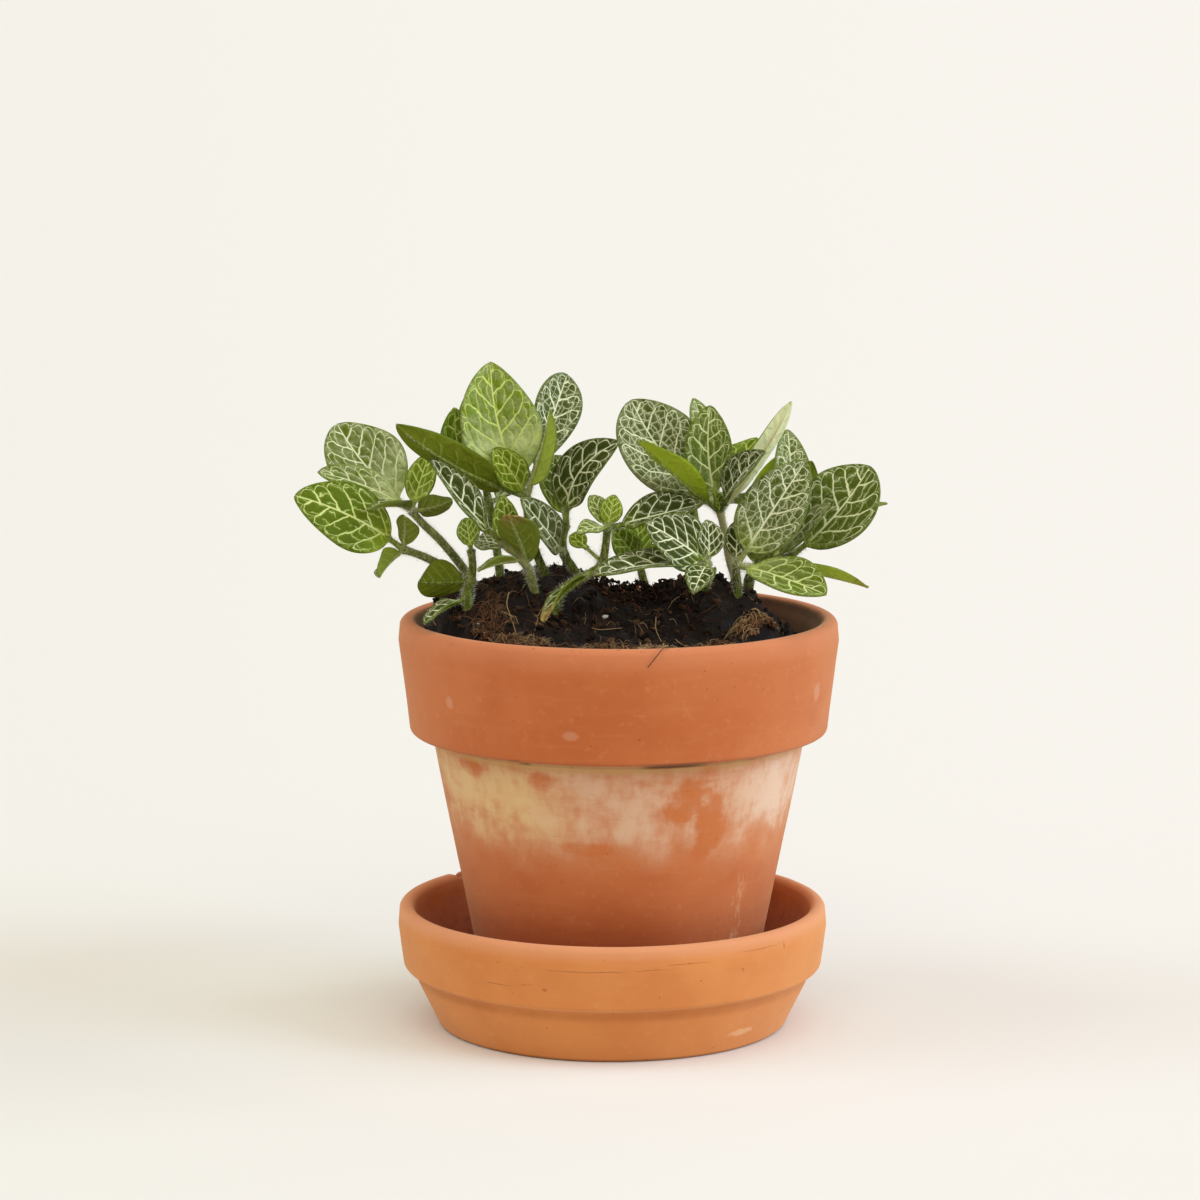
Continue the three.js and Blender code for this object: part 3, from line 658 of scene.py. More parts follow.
def makeCrumbs():
    bm = bmesh.new()
    bm.verts.layers.float_vector.new("kind")

    def crumb(spot, radius, tone, wood=0.0, white=0.0):
        part = bmesh.new()
        kind = part.verts.layers.float_vector.new("kind")
        long = radius * chance.uniform(0.7, 1.6)
        stretch = Matrix.Diagonal((long, radius, radius * chance.uniform(0.5, 0.9), 1))
        turn = Matrix.Rotation(chance.uniform(0, 6.28), 4, (chance.random(), chance.random(), 1))
        place = Matrix.Translation(spot) @ turn @ stretch
        bmesh.ops.create_icosphere(part, subdivisions=2 if radius > 0.8 else 1, radius=1, matrix=place)
        for vert in part.verts:
            vert.co += (vert.co - spot) * noise.noise(vert.co * 1.3 / radius + spot)
            vert[kind] = (tone, wood, white)
        pour(bm, part)

    for _ in range(litter["crumbs"]):
        spot = spotOnSoil(litter["crumbSpread"])
        radius = litter["small"] + (litter["large"] - litter["small"]) * chance.random() ** 3
        tone = chance.random() ** 4 * 0.7
        crumb(spot + Vector((0, 0, radius * 0.2)), radius, tone, 0.4 if chance.random() < 0.05 else 0.0)
    for *dome, count, _, pale in litter["clumps"]:
        for _ in range(count):
            spot = spotInDome(dome, 0.8)
            if insideRim(spot.x, spot.y):
                wood = chance.random() * (pale + 0.2)
                crumb(spot, chance.uniform(0.25, 0.75), pale * chance.uniform(0.4, 1.4), wood)
    for x, y, radius in litter["perlite"]:
        crumb(Vector((x, y, groundHeight(x, y) + radius * 0.6)), radius, 0, 0, 1)
    x, y, radius = litter["chip"]
    crumb(Vector((x, y, groundHeight(x, y) + radius * 0.6)), radius, 1.0, 1.6)
    keep("soil_crumbs", bm, [crumbFinish()])
    print("crumbs made")


def makeFibres():
    bm = bmesh.new()
    bm.verts.layers.float_vector.new("kind")

    def strand(points, thickness, tone, red=0.0):
        radii = [thickness * (1 - 0.5 * i / len(points)) for i in range(len(points))]
        tube(bm, points, radii, 4, (tone, red, 0))

    def wisp(spot, length, lift, tone, red, above=0.0):  # a loose fibre that wanders over the soil
        heading = chance.uniform(0, 2 * math.pi)
        points = []
        for step in range(5):
            heading += chance.uniform(-0.6, 0.6)
            spot = spot + Vector((math.cos(heading), math.sin(heading), 0)) * length / 4
            if not insideRim(spot.x, spot.y):
                break
            up = above * (1 - step * 0.15) + lift * math.sin(math.pi * step / 4) + chance.uniform(-0.2, 0.3)
            points.append(Vector((spot.x, spot.y, groundHeight(spot.x, spot.y) + up)))
        if len(points) > 2:
            strand(points, chance.uniform(litter["thin"], litter["thick"]), tone, red)

    for _ in range(litter["fibres"]):
        red = 0.8 if chance.random() < 0.4 else 0.0
        spot = spotOnSoil(litter["fibreSpread"])
        wisp(spot, chance.uniform(2.5, 7), chance.uniform(0.2, 1.1), chance.random() ** 2.5, red)
    for *dome, _, count, pale in litter["clumps"]:
        for _ in range(count):
            spot = spotInDome(dome, 1)
            lift = spot.z - groundHeight(spot.x, spot.y)
            red = (1 - pale) * chance.random()
            length = chance.uniform(2, 5)
            arch = chance.uniform(0.2, 1.2)
            wisp(spot, length, arch, min(1, pale * chance.uniform(0.3, 1.6)), red, lift)
    for root in litter["roots"]:
        ends = [Vector((x, y, groundHeight(x, y) + lift)) for x, y, lift in root]
        strand([curveThrough(ends, i / 10) for i in range(11)], litter["rootRadius"], 0.72, 0.15)
    ends = [Vector(point) for point in litter["twig"]]
    strand([curveThrough(ends, i / 12) for i in range(13)], litter["twigRadius"], 0.12, 0.5)
    keep("soil_fibres", bm, [fibreFinish()])
    print("fibres made")


leaf = {
    "thickness": 0.45, "stalkRadius": 0.8, "tipRadius": 0.12, "fold": 16, "bow": 0, "archShare": 0.063,
    "stalk": 0.15, "broadest": 0.47, "fullness": 0.62, "cup": 0.1, "wave": 0.35, "waves": 11, "pucker": 0.2,
    "pillows": 4.6, "pillowsPerMillimetre": 0.085, "across": 14, "along": 36,
    "ribSides": 8, "bladeStart": 0.86,  # the blade starts at this share of its stalk
}

# Each shoot has the points that its stem passes, from the root up, and its leaves. A leaf has the
# stem point it grows from, its tip, its width, the way its upper side faces, and its looks: age
# from 0, young and bright, to 1, old and dark; net, how dense the veins are; haze, a painted grey sheen that
# also paints the leaf lighter;
# brown, how far the tip has withered. Last comes what differs from the settings above.
shoots = {
    "left_upper": {
        "pale": 0.12,
        "stem": [
            (-40, -8, 120), (-40.5, -9, 131.5), (-44, -10, 138),
            (-50, -13, 146), (-55, -14, 151), (-58.5, -14, 155),
        ],
        "leaves": [
            (5, (-80.5, -3, 179), 23.5, (0.2, -0.9, 0.4), (0.5, 0.45, 0.95, 0),
             {"bow": -2.4, "broadest": 0.42}),
            (5, (-85.2, -19.5, 166.8), 11.5, (0.1, -0.6, 0.8), (0.4, 0.6, 0.85, 0), {}),
            (5, (-53.5, -11, 171), 9, (0, -1, 0.2), (0.1, 0.5, 0.1, 0), {}),
            (5, (-70.3, -38, 158), 7, (0.1, 0.4, 1), (0.7, 0.3, 0.3, 0), {"bow": -2.5}),
            (5, (-46.5, -21, 159), 7, (0, 1, 0.3), (0.8, 0.3, 0.2, 0), {"bow": -1, "broadest": 0.3}),
        ],
    },
    "left_outer": {
        "pale": 0.08,
        "stem": [
            (-41.5, -17, 120), (-42.5, -17, 131.5), (-45, -18, 136.5),
            (-50, -20, 140), (-55.5, -22, 143), (-60.5, -24, 145),
        ],
        "leaves": [
            (5, (-90.8, -35, 162), 20, (0.1, -0.85, 0.5), (0.42, 0.4, 0, 0),
             {"bow": 1, "fold": -6, "broadest": 0.42}),
            (5, (-59.5, -33, 155.5), 7.5, (0.4, 0.8, 0.3), (0.75, 0.3, 0.2, 0), {}),
            (5, (-66.7, -34, 138.4), 8, (-0.8, 0.2, 0.4), (0.6, 0.5, 0.2, 0), {"fold": 32}),
        ],
    },
    "left_low": {
        "stem": [
            (-42, -25, 119), (-42, -24.5, 131), (-41, -23.5, 136),
            (-40.5, -22, 140), (-41, -19.5, 144),
        ],
        "leaves": [
            (2, (-55.6, -30, 136.5), 13, (0, 0.9, 0.3), (1.3, 0.3, 0, 0), {"bow": 1}),
            (1, (-54, -33, 124.5), 7.5, (-0.6, -0.4, 0.5), (0.8, 0.4, 0, 0), {}),
            (4, (-42.5, -16, 153), 7, (0, -1, 0.3), (0.35, 0.5, 0, 0), {}),
        ],
    },
    "left_main": {
        "stem": [
            (-16.5, -12, 120), (-18.5, -12, 132), (-20.5, -13, 138),
            (-22.5, -14, 143.5), (-24.5, -14, 151), (-25, -13, 159),
        ],
        "leaves": [
            (5, (-61.5, -36, 182.5), 13.5, (0.3, 0.9, 0.5), (0.75, 0.3, 0, 0),
             {"arch": 0, "bow": 3, "broadest": 0.4}),
            (5, (-35.5, -6, 197.5), 24.5, (0.12, -0.95, 0.3), (0.05, 0.55, 0.9, 0),
             {"bow": -3, "broadest": 0.4, "fullness": 0.7}),
            (5, (-13.4, 8, 192.5), 15, (0.35, -0.9, 0.2), (0.85, 0.8, 0.25, 0),
             {"bow": -1, "stalk": 0.2, "broadest": 0.6}),
            (5, (-18, -24, 185.5), 13, (1, 0.1, 0), (0.35, 0.3, 0.5, 0), {"arch": 1}),
            (5, (-34.5, -17, 173.5), 10.5, (0.1, -0.9, 0.4), (0.2, 0.5, 0, 0), {}),
        ],
    },
    "left_front": {
        "pale": 0.2,
        "stem": [
            (-22, -20, 119), (-22.5, -21, 131), (-24, -24, 138),
            (-26, -27, 142.5), (-30, -27, 146), (-32.5, -27, 148),
        ],
        "leaves": [
            (5, (-52.5, -26, 171.5), 12, (0.75, -0.6, 0.4), (1, 0.5, 0, 0), {"bow": -4, "fold": 28}),
            (2, (-29.5, -43, 157), 12, (0.1, 0.9, 0.5), (0.75, 0.3, 0.15, 0.55), {}),
            (4, (-31.5, -31, 161.5), 8, (0, -0.9, 0.4), (0.35, 0.6, 0, 0), {}),
            (4, (-39.5, -21, 147), 9, (0, -0.7, 0.7), (0.75, 0.6, 0, 0), {}),
            (3, (-38.5, -34, 140), 8, (0, 0.3, 1), (0.5, 0.5, 0.5, 0), {}),
        ],
    },
    "left_right": {
        "stem": [
            (-6.5, -8, 119), (-8.5, -9, 131), (-11.5, -10, 137.5),
            (-14, -11, 141.5), (-14.5, -11, 146), (-13.5, -11, 150.5),
        ],
        "leaves": [
            (5, (1.9, -14, 175), 14, (-0.3, -0.85, 0.4), (1, 0.6, 0, 0), {"bow": -4.6, "broadest": 0.38}),
            (3, (-26.5, -30, 160.5), 12, (0.3, -0.8, 0.5), (0.9, 0.6, 0.4, 0), {"bow": -1.5}),
            (5, (-16.5, 4, 169), 13, (0, -0.9, 0.4), (0.5, 0.5, 0, 0), {}),
        ],
    },
    "middle": {
        "stem": [(-16.5, -27, 119), (-16, -27, 131), (-11, -26.5, 136), (-5.5, -25, 138.5),
                 (-3, -23, 141), (-2, -22, 146), (-1.5, -22, 151)],
        "leaves": [
            (6, (0.5, -22, 160.5), 7, (0, -1, 0.2), (0.15, 0.6, 0, 0), {}),
            (6, (26, -15, 157), 13, (0, -0.6, 0.8), (1, 0.5, 0, 0), {"arch": 1, "bow": 1, "fold": 26}),
            (6, (-6.5, -19.5, 160), 6.5, (0.3, -0.9, 0.4), (0.5, 0.6, 0, 0), {}),
            (6, (-10, -28, 150), 7, (0, -0.5, 0.9), (0.5, 0.6, 0.2, 0), {}),
            (3, (-19.5, -49, 127.5), 9, (-0.7, -0.2, 0.6), (0.75, 0.4, 0, 0.75), {}),
            (4, (-12.1, -17, 148.1), 5.5, (0.2, -0.9, 0.4), (0.05, 0.4, 0, 0), {"stalk": 0.55}),
        ],
    },
    "middle_back": {
        "stem": [(10.5, 16, 118), (10, 16, 127), (9, 17, 131.5), (8, 18, 135.5)],
        "leaves": [
            (3, (0.5, 14, 146), 9, (0, -1, 0.2), (0, 0.3, 0.1, 0), {}),
            (3, (7.5, 22, 148), 9, (0.1, -1, 0.2), (0, 0.3, 0.1, 0), {}),
            (3, (16, 14, 141), 5, (0, -0.9, 0.4), (0.15, 0.5, 0, 0), {}),
            (3, (6, 40, 143), 12, (0, 0.3, 1), (0.6, 0.6, 0.2, 0), {}),
        ],
    },
    "right_main": {
        "pale": 0.75,
        "stem": [(38, 0, 119), (36.5, -1, 132), (34.5, -3, 139), (33, -6, 147), (31.5, -8, 154)],
        "leaves": [
            (4, (5.5, -2, 186), 24.5, (0.15, -0.95, 0.3), (0.8, 1, 0.5, 0), {"bow": -3.4, "broadest": 0.54}),
            (4, (7.5, -34, 177.5), 12, (0.45, 0.6, 0.6), (0.15, 0.3, 0, 0),
             {"arch": 0, "bow": 1, "fold": 20}),
            (4, (28.5, -8, 185), 14.5, (0, -1, 0.2), (0.5, 0.7, 0.2, 0), {"bow": -2, "stalk": 0.2}),
            (4, (24, 8, 185.5), 10, (0.3, -0.9, 0.3), (0.5, 0.6, 0.8, 0), {"stalk": 0.2}),
            (4, (44, -26, 173.5), 12, (-0.6, -0.7, 0.5), (1, 0.7, 0, 0), {"fold": 28}),
            (4, (52, -12, 186.5), 7.5, (-0.55, 0.8, 0.2), (0.1, 0.3, 1.6, 0),
             {"arch": 0, "bow": -1.5, "fold": 12}),
            (4, (28.9, -15, 160.5), 4, (0.3, -0.9, 0.4), (0.2, 0.3, 0, 0), {}),
        ],
    },
    "right_outer": {
        "stem": [(40.5, 8, 119), (40.5, 7, 131), (42.5, 1, 136), (48, -3, 139), (52.5, -5, 140.5)],
        "leaves": [
            (2, (45, -6, 154), 12, (-0.2, -0.9, 0.4), (0.3, 0.65, 0.2, 0), {}),
            (4, (75.2, -8, 167.2), 23, (-0.2, -0.9, 0.4), (0.62, 0.65, 0.1, 0),
             {"bow": 2.6, "broadest": 0.56}),
            (4, (81.5, 10, 154), 9, (0, 0.3, 1), (0.5, 0.5, 0.7, 0), {}),
            (4, (52, 15, 175.5), 12, (0.2, -0.9, 0.3), (0.6, 0.8, 0.5, 0), {}),
            (4, (58.5, 4, 167.5), 11, (0.1, 0.9, 0.3), (0.85, 0.5, 0, 0), {}),
            (1, (50.4, 12, 168.3), 17, (0.1, 0.95, 0.2), (0.3, 0.2, 0, 0), {"bow": -1}),
            (3, (63, -16, 157.5), 6, (-0.2, -0.9, 0.3), (0.5, 0.4, 0.85, 0), {}),
        ],
    },
    "right_low": {
        "stem": [(37, -13, 119), (36.5, -13.5, 132), (36, -16, 136.5), (36, -18, 139.5)],
        "leaves": [
            (3, (60.5, -43, 134.5), 15, (0.1, -0.7, 0.65), (0.4, 0.6, 0.3, 0),
             {"bow": 1, "broadest": 0.58, "fullness": 0.55}),
            (3, (59.2, -14, 137.2), 6, (0, 0.3, 1), (0.4, 0.3, 0.6, 0), {"arch": 0}),
            (3, (73.9, -24, 133.8), 8, (0, 0.5, 0.85), (0.1, 0.3, 0.3, 0.3), {"bow": -1.5}),
            (3, (37, -12, 152), 7, (-0.3, -0.9, 0.2), (1.2, 0.2, -0.1, 0), {}),
            (3, (56, -14.5, 169.5), 19.5, (0.15, -0.9, 0.45), (0.72, 0.8, 0.28, 0), {"broadest": 0.4}),
        ],
    },
    "right_front": {
        "stem": [(27, -11, 119), (27.2, -12, 131), (27.4, -19, 137.5), (27.5, -26, 141)],
        "leaves": [
            (3, (9.5, -34, 154), 17, (0.35, -0.85, 0.4), (1, 0.5, 0, 0), {"fold": 8, "broadest": 0.38}),
            (3, (-5.5, -42, 139.8), 13, (0, -0.35, 1), (1.1, 0.5, 0.2, 0.1), {"arch": 1.5}),
            (3, (23, -44, 135), 9, (0, -0.5, 0.9), (0.9, 0.3, 0, 0), {}),
            (3, (27.2, -24, 153.5), 9, (0.4, -0.85, 0.3), (1, 0.4, 0, 0), {}),
        ],
    },
    "back_left": {
        "stem": [(-33, 20, 118), (-33.5, 21, 130), (-35, 23, 141), (-37, 24, 152), (-38.5, 23, 161)],
        "leaves": [
            (4, (-46.4, 8, 182.8), 13, (0, -1, 0.2), (0.25, 0.6, 0, 0), {"bow": -3.5}),
            (4, (-40.5, 27, 188), 13, (-0.1, -1, 0.2), (0.75, 0.6, 0.2, 0), {}),
            (4, (-27, 50, 181), 18, (0.1, 0.5, 0.7), (0.7, 0.6, 0.2, 0), {}),
            (3, (-17, 47, 157), 15, (0.1, 0.2, 1), (0.85, 0.5, 0.1, 0), {}),
            (4, (-21, 19, 173), 9, (0.3, -0.9, 0.5), (0.4, 0.6, 0, 0), {}),
        ],
    },
    "back_right": {
        "stem": [(27, 22, 118), (27, 22, 129), (26, 25, 141), (24, 27, 152), (23, 28, 161)],
        "leaves": [
            (4, (11, 41, 178), 15, (-0.2, 0.5, 0.8), (0.7, 0.7, 0.2, 0), {}),
            (4, (43.5, 26, 171.8), 10, (-0.2, -0.9, 0.4), (0.2, 0.6, 0, 0), {"bow": 4}),
            (4, (36, 57, 160), 17, (0.1, 0.4, 0.9), (0.8, 0.6, 0.2, 0), {}),
            (3, (50, 45, 147), 15, (0.3, 0.3, 1), (0.6, 0.8, 0.1, 0), {}),
            (3, (13, 50, 159), 15, (-0.2, 0.3, 1), (0.4, 0.6, 0, 0), {}),
        ],
    },
}


def smoothstep(value, low, high):
    t = min(1.0, max(0.0, (value - low) / (high - low)))
    return t * t * (3 - 2 * t)


class Blade:  # one leaf's middle surface: u from -1 to 1 across, v from 0 at the stem to 1 at the tip
    def __init__(self, base, row, index):
        _, tip, self.width, face, _, extra = row
        self.facts = {**leaf, **extra}
        self.base = base
        self.along = Vector(tip) - base
        self.length = self.along.length
        axis = self.along.normalized()
        self.face = (Vector(face) - axis * Vector(face).dot(axis)).normalized()
        self.side = axis.cross(self.face)
        self.arch = self.facts.get("arch", leaf["archShare"] * self.length)
        self.phase = 1.7 * index
        self.pillows = leaf["pillows"] + self.length * leaf["pillowsPerMillimetre"]

    def half(self, v):
        facts = self.facts
        if v <= facts["stalk"]:
            return facts["stalkRadius"]
        t = min(1.0, (v - facts["stalk"]) / (1 - facts["stalk"]))
        skew = math.log(0.5) / math.log(facts["broadest"])
        blade = self.width / 2 * max(0.0, math.sin(math.pi * t**skew)) ** facts["fullness"]
        return max(blade, facts["stalkRadius"] if t < 0.5 else facts["tipRadius"])

    def at(self, u, v):
        facts = self.facts
        bulge = 4 * v * (1 - v)
        turn = 4 * (1 - 2 * v)
        point = self.base + self.along * v + self.face * self.arch * bulge + self.side * facts["bow"] * bulge
        way = (self.along + self.face * self.arch * turn + self.side * facts["bow"] * turn).normalized()
        face = (self.face - way * self.face.dot(way)).normalized()
        half = self.half(v)
        opened = smoothstep(v, facts["stalk"], facts["stalk"] + 0.2)
        angle = math.radians(facts["fold"]) * opened
        swing = math.sin(facts["waves"] * v + self.phase + (2 if u > 0 else 0))
        climb = 0.3 * abs(u) + 0.16 * u * u
        pillow = abs(math.sin(math.pi * ((v - climb) * self.pillows + 0.35 * (u > 0)))) ** 0.7 * (1 - u**4)
        rise = half * abs(u) * math.sin(angle) + facts["cup"] * half * u * u * opened
        rise += facts["wave"] * opened * u * u * swing
        rise += facts["pucker"] * opened * pillow * min(1.0, abs(u) * 5)
        return point + way.cross(face) * half * u * math.cos(angle) + face * rise


veins = {
    "pairs": 4.2, "pairsPerMillimetre": 0.06, "midrib": 0.12, "side": 0.15, "loop": 0.13, "fine": 0.08,
    "rungShare": 1.7, "netSize": 2.17, "spurGap": 2.1, "looped": 0.95,  # the loops' way from the margin
}


def veinLines(finish):  # the masks of a leaf's veins, from the numbers that its points carry
    u, v, half = finish.read("blade")
    seed, length, age = finish.read("kind")
    # haze is the amount of painted grey sheen on the leaf
    net, haze, brown = finish.read("look")
    across = abs(u)
    right = u.math("GREATER_THAN", u, 0.0)
    flat = finish.join(u * half, v * length, seed * 90)  # millimetres on the leaf
    wander = finish.grain(flat, 5.0, 2.0) - 0.5
    kink = finish.grain(flat, 1.4, 1.0) - 0.5
    pairs = length * veins["pairsPerMillimetre"] + veins["pairs"]
    climb = across * half * (across * 0.35 + 0.7) / length
    phase = (v - climb) * pairs + right * 0.4 + wander * 0.45 + kink * 0.12
    spacing = length / pairs * 0.8  # millimetres between two side veins
    strip = finish.floor(phase + 0.5)
    local = phase - strip  # -0.5 to 0.5 between two side veins
    sideGap = (0.5 - abs(local)) * spacing
    margin = (1 - across) * half
    size = finish.least(length / 34, 1.0)
    fine = size * 0.55 + 0.45  # small leaves have finer veins

    def line(gap, width):  # 1 on a vein, soft over a tenth of a millimetre
        return 1 - finish.smooth(gap - fine * width, -0.05, 0.08)

    middle = abs(u * half)
    midrib = line(middle, (1 - v) * 0.3 + veins["midrib"])
    loop = local * local * 7.0 + veins["looped"] + wander * 0.8
    inner = finish.smooth(margin - loop * size, -0.25, 0.1)  # inside the loops near the margin
    sideLine = line(sideGap, (1 - across) * 0.1 + veins["side"]) * inner
    loopLine = line(abs(margin - loop * size), veins["loop"])

    # rungs between two side veins, at uneven distances, some of them broken off
    along = across * half / spacing * veins["rungShare"]
    lean = finish.grain(flat, 7.0, 0.0) - 0.5
    bent = local * local * 0.5 + local * (lean * 3.0 + 0.25) + wander * 0.6 + kink * 0.4
    rungs = along + strip * 7.31 + seed * 31 + right * 5 + bent
    rungGap = finish.steps(rungs, 0.85) * spacing / veins["rungShare"]
    broken = finish.smooth(finish.grain(flat, 2.4, 1.0) + net * 0.8, 0.62, 0.8)
    rungLine = line(rungGap, veins["fine"]) * broken * inner

    # a finer net on well netted leaves, and short spurs outside the loops
    netGap = finish.cells(flat, veins["netSize"], 0.85)
    netted = finish.smooth(finish.grain(flat, 3.1, 1.0) * 0.5 + net, 0.85, 1.1)
    netLine = line(netGap, veins["fine"]) * netted * inner
    spurs = v * length / veins["spurGap"] + right * 3 + seed * 7 + wander * 1.5
    spurGap = finish.steps(spurs, 0.7) * veins["spurGap"]
    spurLine = line(spurGap, veins["fine"]) * (1 - inner) * finish.smooth(margin, 0.2, 0.6)
    spurLine = spurLine * finish.smooth(net + kink, 0.15, 0.5)

    main = finish.most(midrib, sideLine)
    lines = finish.most(main, loopLine * 0.85, rungLine * 0.75, netLine * 0.7, spurLine * 0.7)
    low = finish.least(sideGap, middle, rungGap + (1 - broken), netGap + (1 - netted))
    return {
        "lines": lines, "low": low, "main": main, "v": v, "flat": flat, "margin": margin,
        "age": age, "haze": haze, "brown": brown,
    }


# light goes a little way into a leaf
flesh = {"Subsurface_Weight": 0.06, "Subsurface_Scale": 0.0008, "Subsurface_Radius": (0.6, 1.0, 0.2)}
# the haze colours are a painted grey sheen, and a paler painted highlight for young leaves
upperLooks = {
    "young": rgb(108, 132, 0), "old": rgb(56, 66, 8), "foot": rgb(150, 172, 34), "deep": rgb(36, 50, 0),
    "haze": (rgb(140, 148, 96), rgb(186, 188, 146)), "youngPaintedHighlight": rgb(212, 228, 152),
    "youngVein": rgb(206, 218, 120), "oldVein": rgb(230, 232, 192), "veinFoot": rgb(182, 200, 74),
    "margin": rgb(112, 128, 48),
}
# the haze colour paints a pale sheen on the underside
underLooks = {
    "young": rgb(156, 176, 42), "old": rgb(98, 108, 20), "haze": rgb(222, 226, 174),
    "youngVein": rgb(170, 184, 84), "oldVein": rgb(128, 142, 60), "paleVein": rgb(214, 218, 176),
}


def withered(finish, at, colour):  # a dry brown tip
    ragged = finish.grain(at["flat"], 1.6, 4.0, 0.65)
    dead = finish.smooth(at["v"] + ragged * 0.5 + at["brown"] * 0.42, 1.2, 1.5)
    straw = finish.mix(rgb(164, 142, 76), rgb(112, 84, 46), finish.smooth(ragged, 0.4, 0.6))
    return finish.mix(colour, straw, dead * finish.smooth(at["brown"], 0.02, 0.1))


def upperFinish():
    finish = Finish("leaf_upper_side", Specular_IOR_Level=0.08, **flesh)
    looks = upperLooks
    at = veinLines(finish)
    mottle = finish.grain(at["flat"], 2.6, 3.0)
    tissue = finish.grain(at["flat"], 0.3, 2.0, 0.6)
    green = finish.mix(looks["young"], looks["old"], finish.smooth(at["age"] + mottle * 0.3, 0.1, 1.2))
    foot = 1 - finish.smooth(at["v"], 0.1, 0.45)
    green = finish.mix(green, looks["foot"], foot * (1 - at["age"] * 0.7))
    deep = finish.smooth(at["low"], 0.3, 1.4) * (at["age"] * 0.3 + 0.1)
    green = finish.mix(green, looks["deep"], deep)

    # the haze, a painted grey sheen, with a paler painted highlight on the lower half of a young leaf
    lower = 1 - finish.smooth(at["v"], 0.25, 0.65)
    # the colour of the painted sheen
    bloom = finish.mix(*looks["haze"], finish.smooth(tissue, 0.4, 0.7))
    bloom = finish.mix(bloom, looks["youngPaintedHighlight"], lower * (1 - at["age"]) * 0.85)
    paintedSheen = finish.smooth(mottle, 0.3, 0.7) * 0.6 + lower * (0.95 - at["age"] * 0.85)
    green = finish.mix(green, bloom, at["haze"] * paintedSheen + 0.03)

    paper = finish.smooth(at["age"] + at["haze"] * 0.25, 0.25, 0.8)
    white = finish.mix(looks["youngVein"], looks["oldVein"], paper)
    veinFoot = 1 - finish.smooth(at["v"], 0.08, 0.35)
    white = finish.mix(white, looks["veinFoot"], veinFoot * (1 - at["age"] * 0.6))
    halo = (1 - finish.smooth(at["low"], 0.1, 0.6)) * 0.12
    colour = finish.mix(green, white, finish.most(at["lines"] * 0.92, halo))
    edge = 1 - finish.smooth(at["margin"], 0.1, 0.4)
    colour = finish.mix(colour, looks["margin"], edge * 0.5)
    finish.put("Base Color", withered(finish, at, colour))
    finish.put("Roughness", 0.46 + at["lines"] * 0.14 + tissue * 0.08)
    height = finish.smooth(at["low"], 0.0, 1.4) + tissue * 0.14
    finish.put("Normal", finish.bump(height, 0.42, 0.8))
    return finish


def underFinish():
    finish = Finish("leaf_underside", Specular_IOR_Level=0.1, **flesh)
    looks = underLooks
    at = veinLines(finish)
    mottle = finish.grain(at["flat"], 3.0, 3.0)
    tissue = finish.grain(at["flat"], 0.32, 2.0, 0.6)
    old = finish.smooth(at["age"] + mottle * 0.2, 0.15, 1.0)
    green = finish.mix(looks["young"], looks["old"], old)
    paintedPaleSheen = finish.smooth(at["haze"], 1.45, 1.55)  # painted pale sheen, strong only where the haze is set past 1
    green = finish.mix(green, looks["haze"], at["haze"] * 0.15 + paintedPaleSheen * 0.75)
    vein = finish.mix(looks["youngVein"], looks["oldVein"], at["age"])
    vein = finish.mix(vein, looks["paleVein"], paintedPaleSheen * 0.8)
    colour = finish.mix(green, vein, at["main"] * 0.5 + at["lines"] * 0.1)
    finish.put("Base Color", withered(finish, at, colour))
    finish.put("Roughness", 0.6 + tissue * 0.1)
    finish.put("Normal", finish.bump(tissue * 0.14 - finish.smooth(at["low"], 0.0, 1.3), 0.4, 0.6))
    return finish


def stemFinish():
    light = {"Subsurface_Weight": 0.06, "Subsurface_Scale": 0.001}
    finish = Finish("green_stem", Roughness=0.6, Specular_IOR_Level=0.1, **light)
    place = finish.place()
    x, y, z = finish.split(place)
    young, pale, _ = finish.read("kind")
    streaks = finish.grain(finish.join(x, y, z * 0.3), 0.0011, 3.0)
    cloud = finish.grain(place, 0.009, 2.0)
    old = finish.mix(rgb(76, 88, 20), rgb(138, 144, 70), finish.smooth(streaks, 0.38, 0.75))
    old = finish.mix(old, rgb(104, 84, 40), finish.smooth(cloud, 0.5, 0.7) * 0.2)
    fresh = finish.mix(rgb(116, 134, 42), rgb(166, 178, 94), finish.smooth(streaks, 0.35, 0.75))
    colour = finish.mix(old, fresh, young)
    finish.put("Base Color", finish.mix(colour, rgb(208, 200, 144), pale))
    finish.put("Normal", finish.bump(streaks, 0.3, 0.6))
    return finish


def hairFinish():
    finish = Finish("plant_hairs", Roughness=0.6, Specular_IOR_Level=0.2)
    tint = finish.smooth(finish.grain(finish.place(), 0.006, 1.0), 0.35, 0.65)
    finish.put("Base Color", finish.mix(rgb(236, 234, 206), rgb(250, 248, 236), tint))
    return finish


stemShape = {"base": 1.5, "top": 1.05, "steps": 18, "sides": 10, "knot": 0.35, "knotReach": 0.05}
hairs = {"radius": 0.036, "onStem": 36, "onStalk": 24, "onRib": 5, "short": 0.5, "long": 1.7}


def addHair(bm, spot, way, length):
    turn = way.to_track_quat("Z", "Y").to_matrix().to_4x4()
    place = Matrix.Translation(spot + way * length / 2) @ turn
    cone = {"segments": 3, "radius1": hairs["radius"], "radius2": 0, "depth": length}
    bmesh.ops.create_cone(bm, cap_ends=True, matrix=place, **cone)


def aside(way):  # a random direction square to way
    free = Vector((chance.gauss(0, 1), chance.gauss(0, 1), chance.gauss(0, 1)))
    return (free - way * free.dot(way)).normalized()


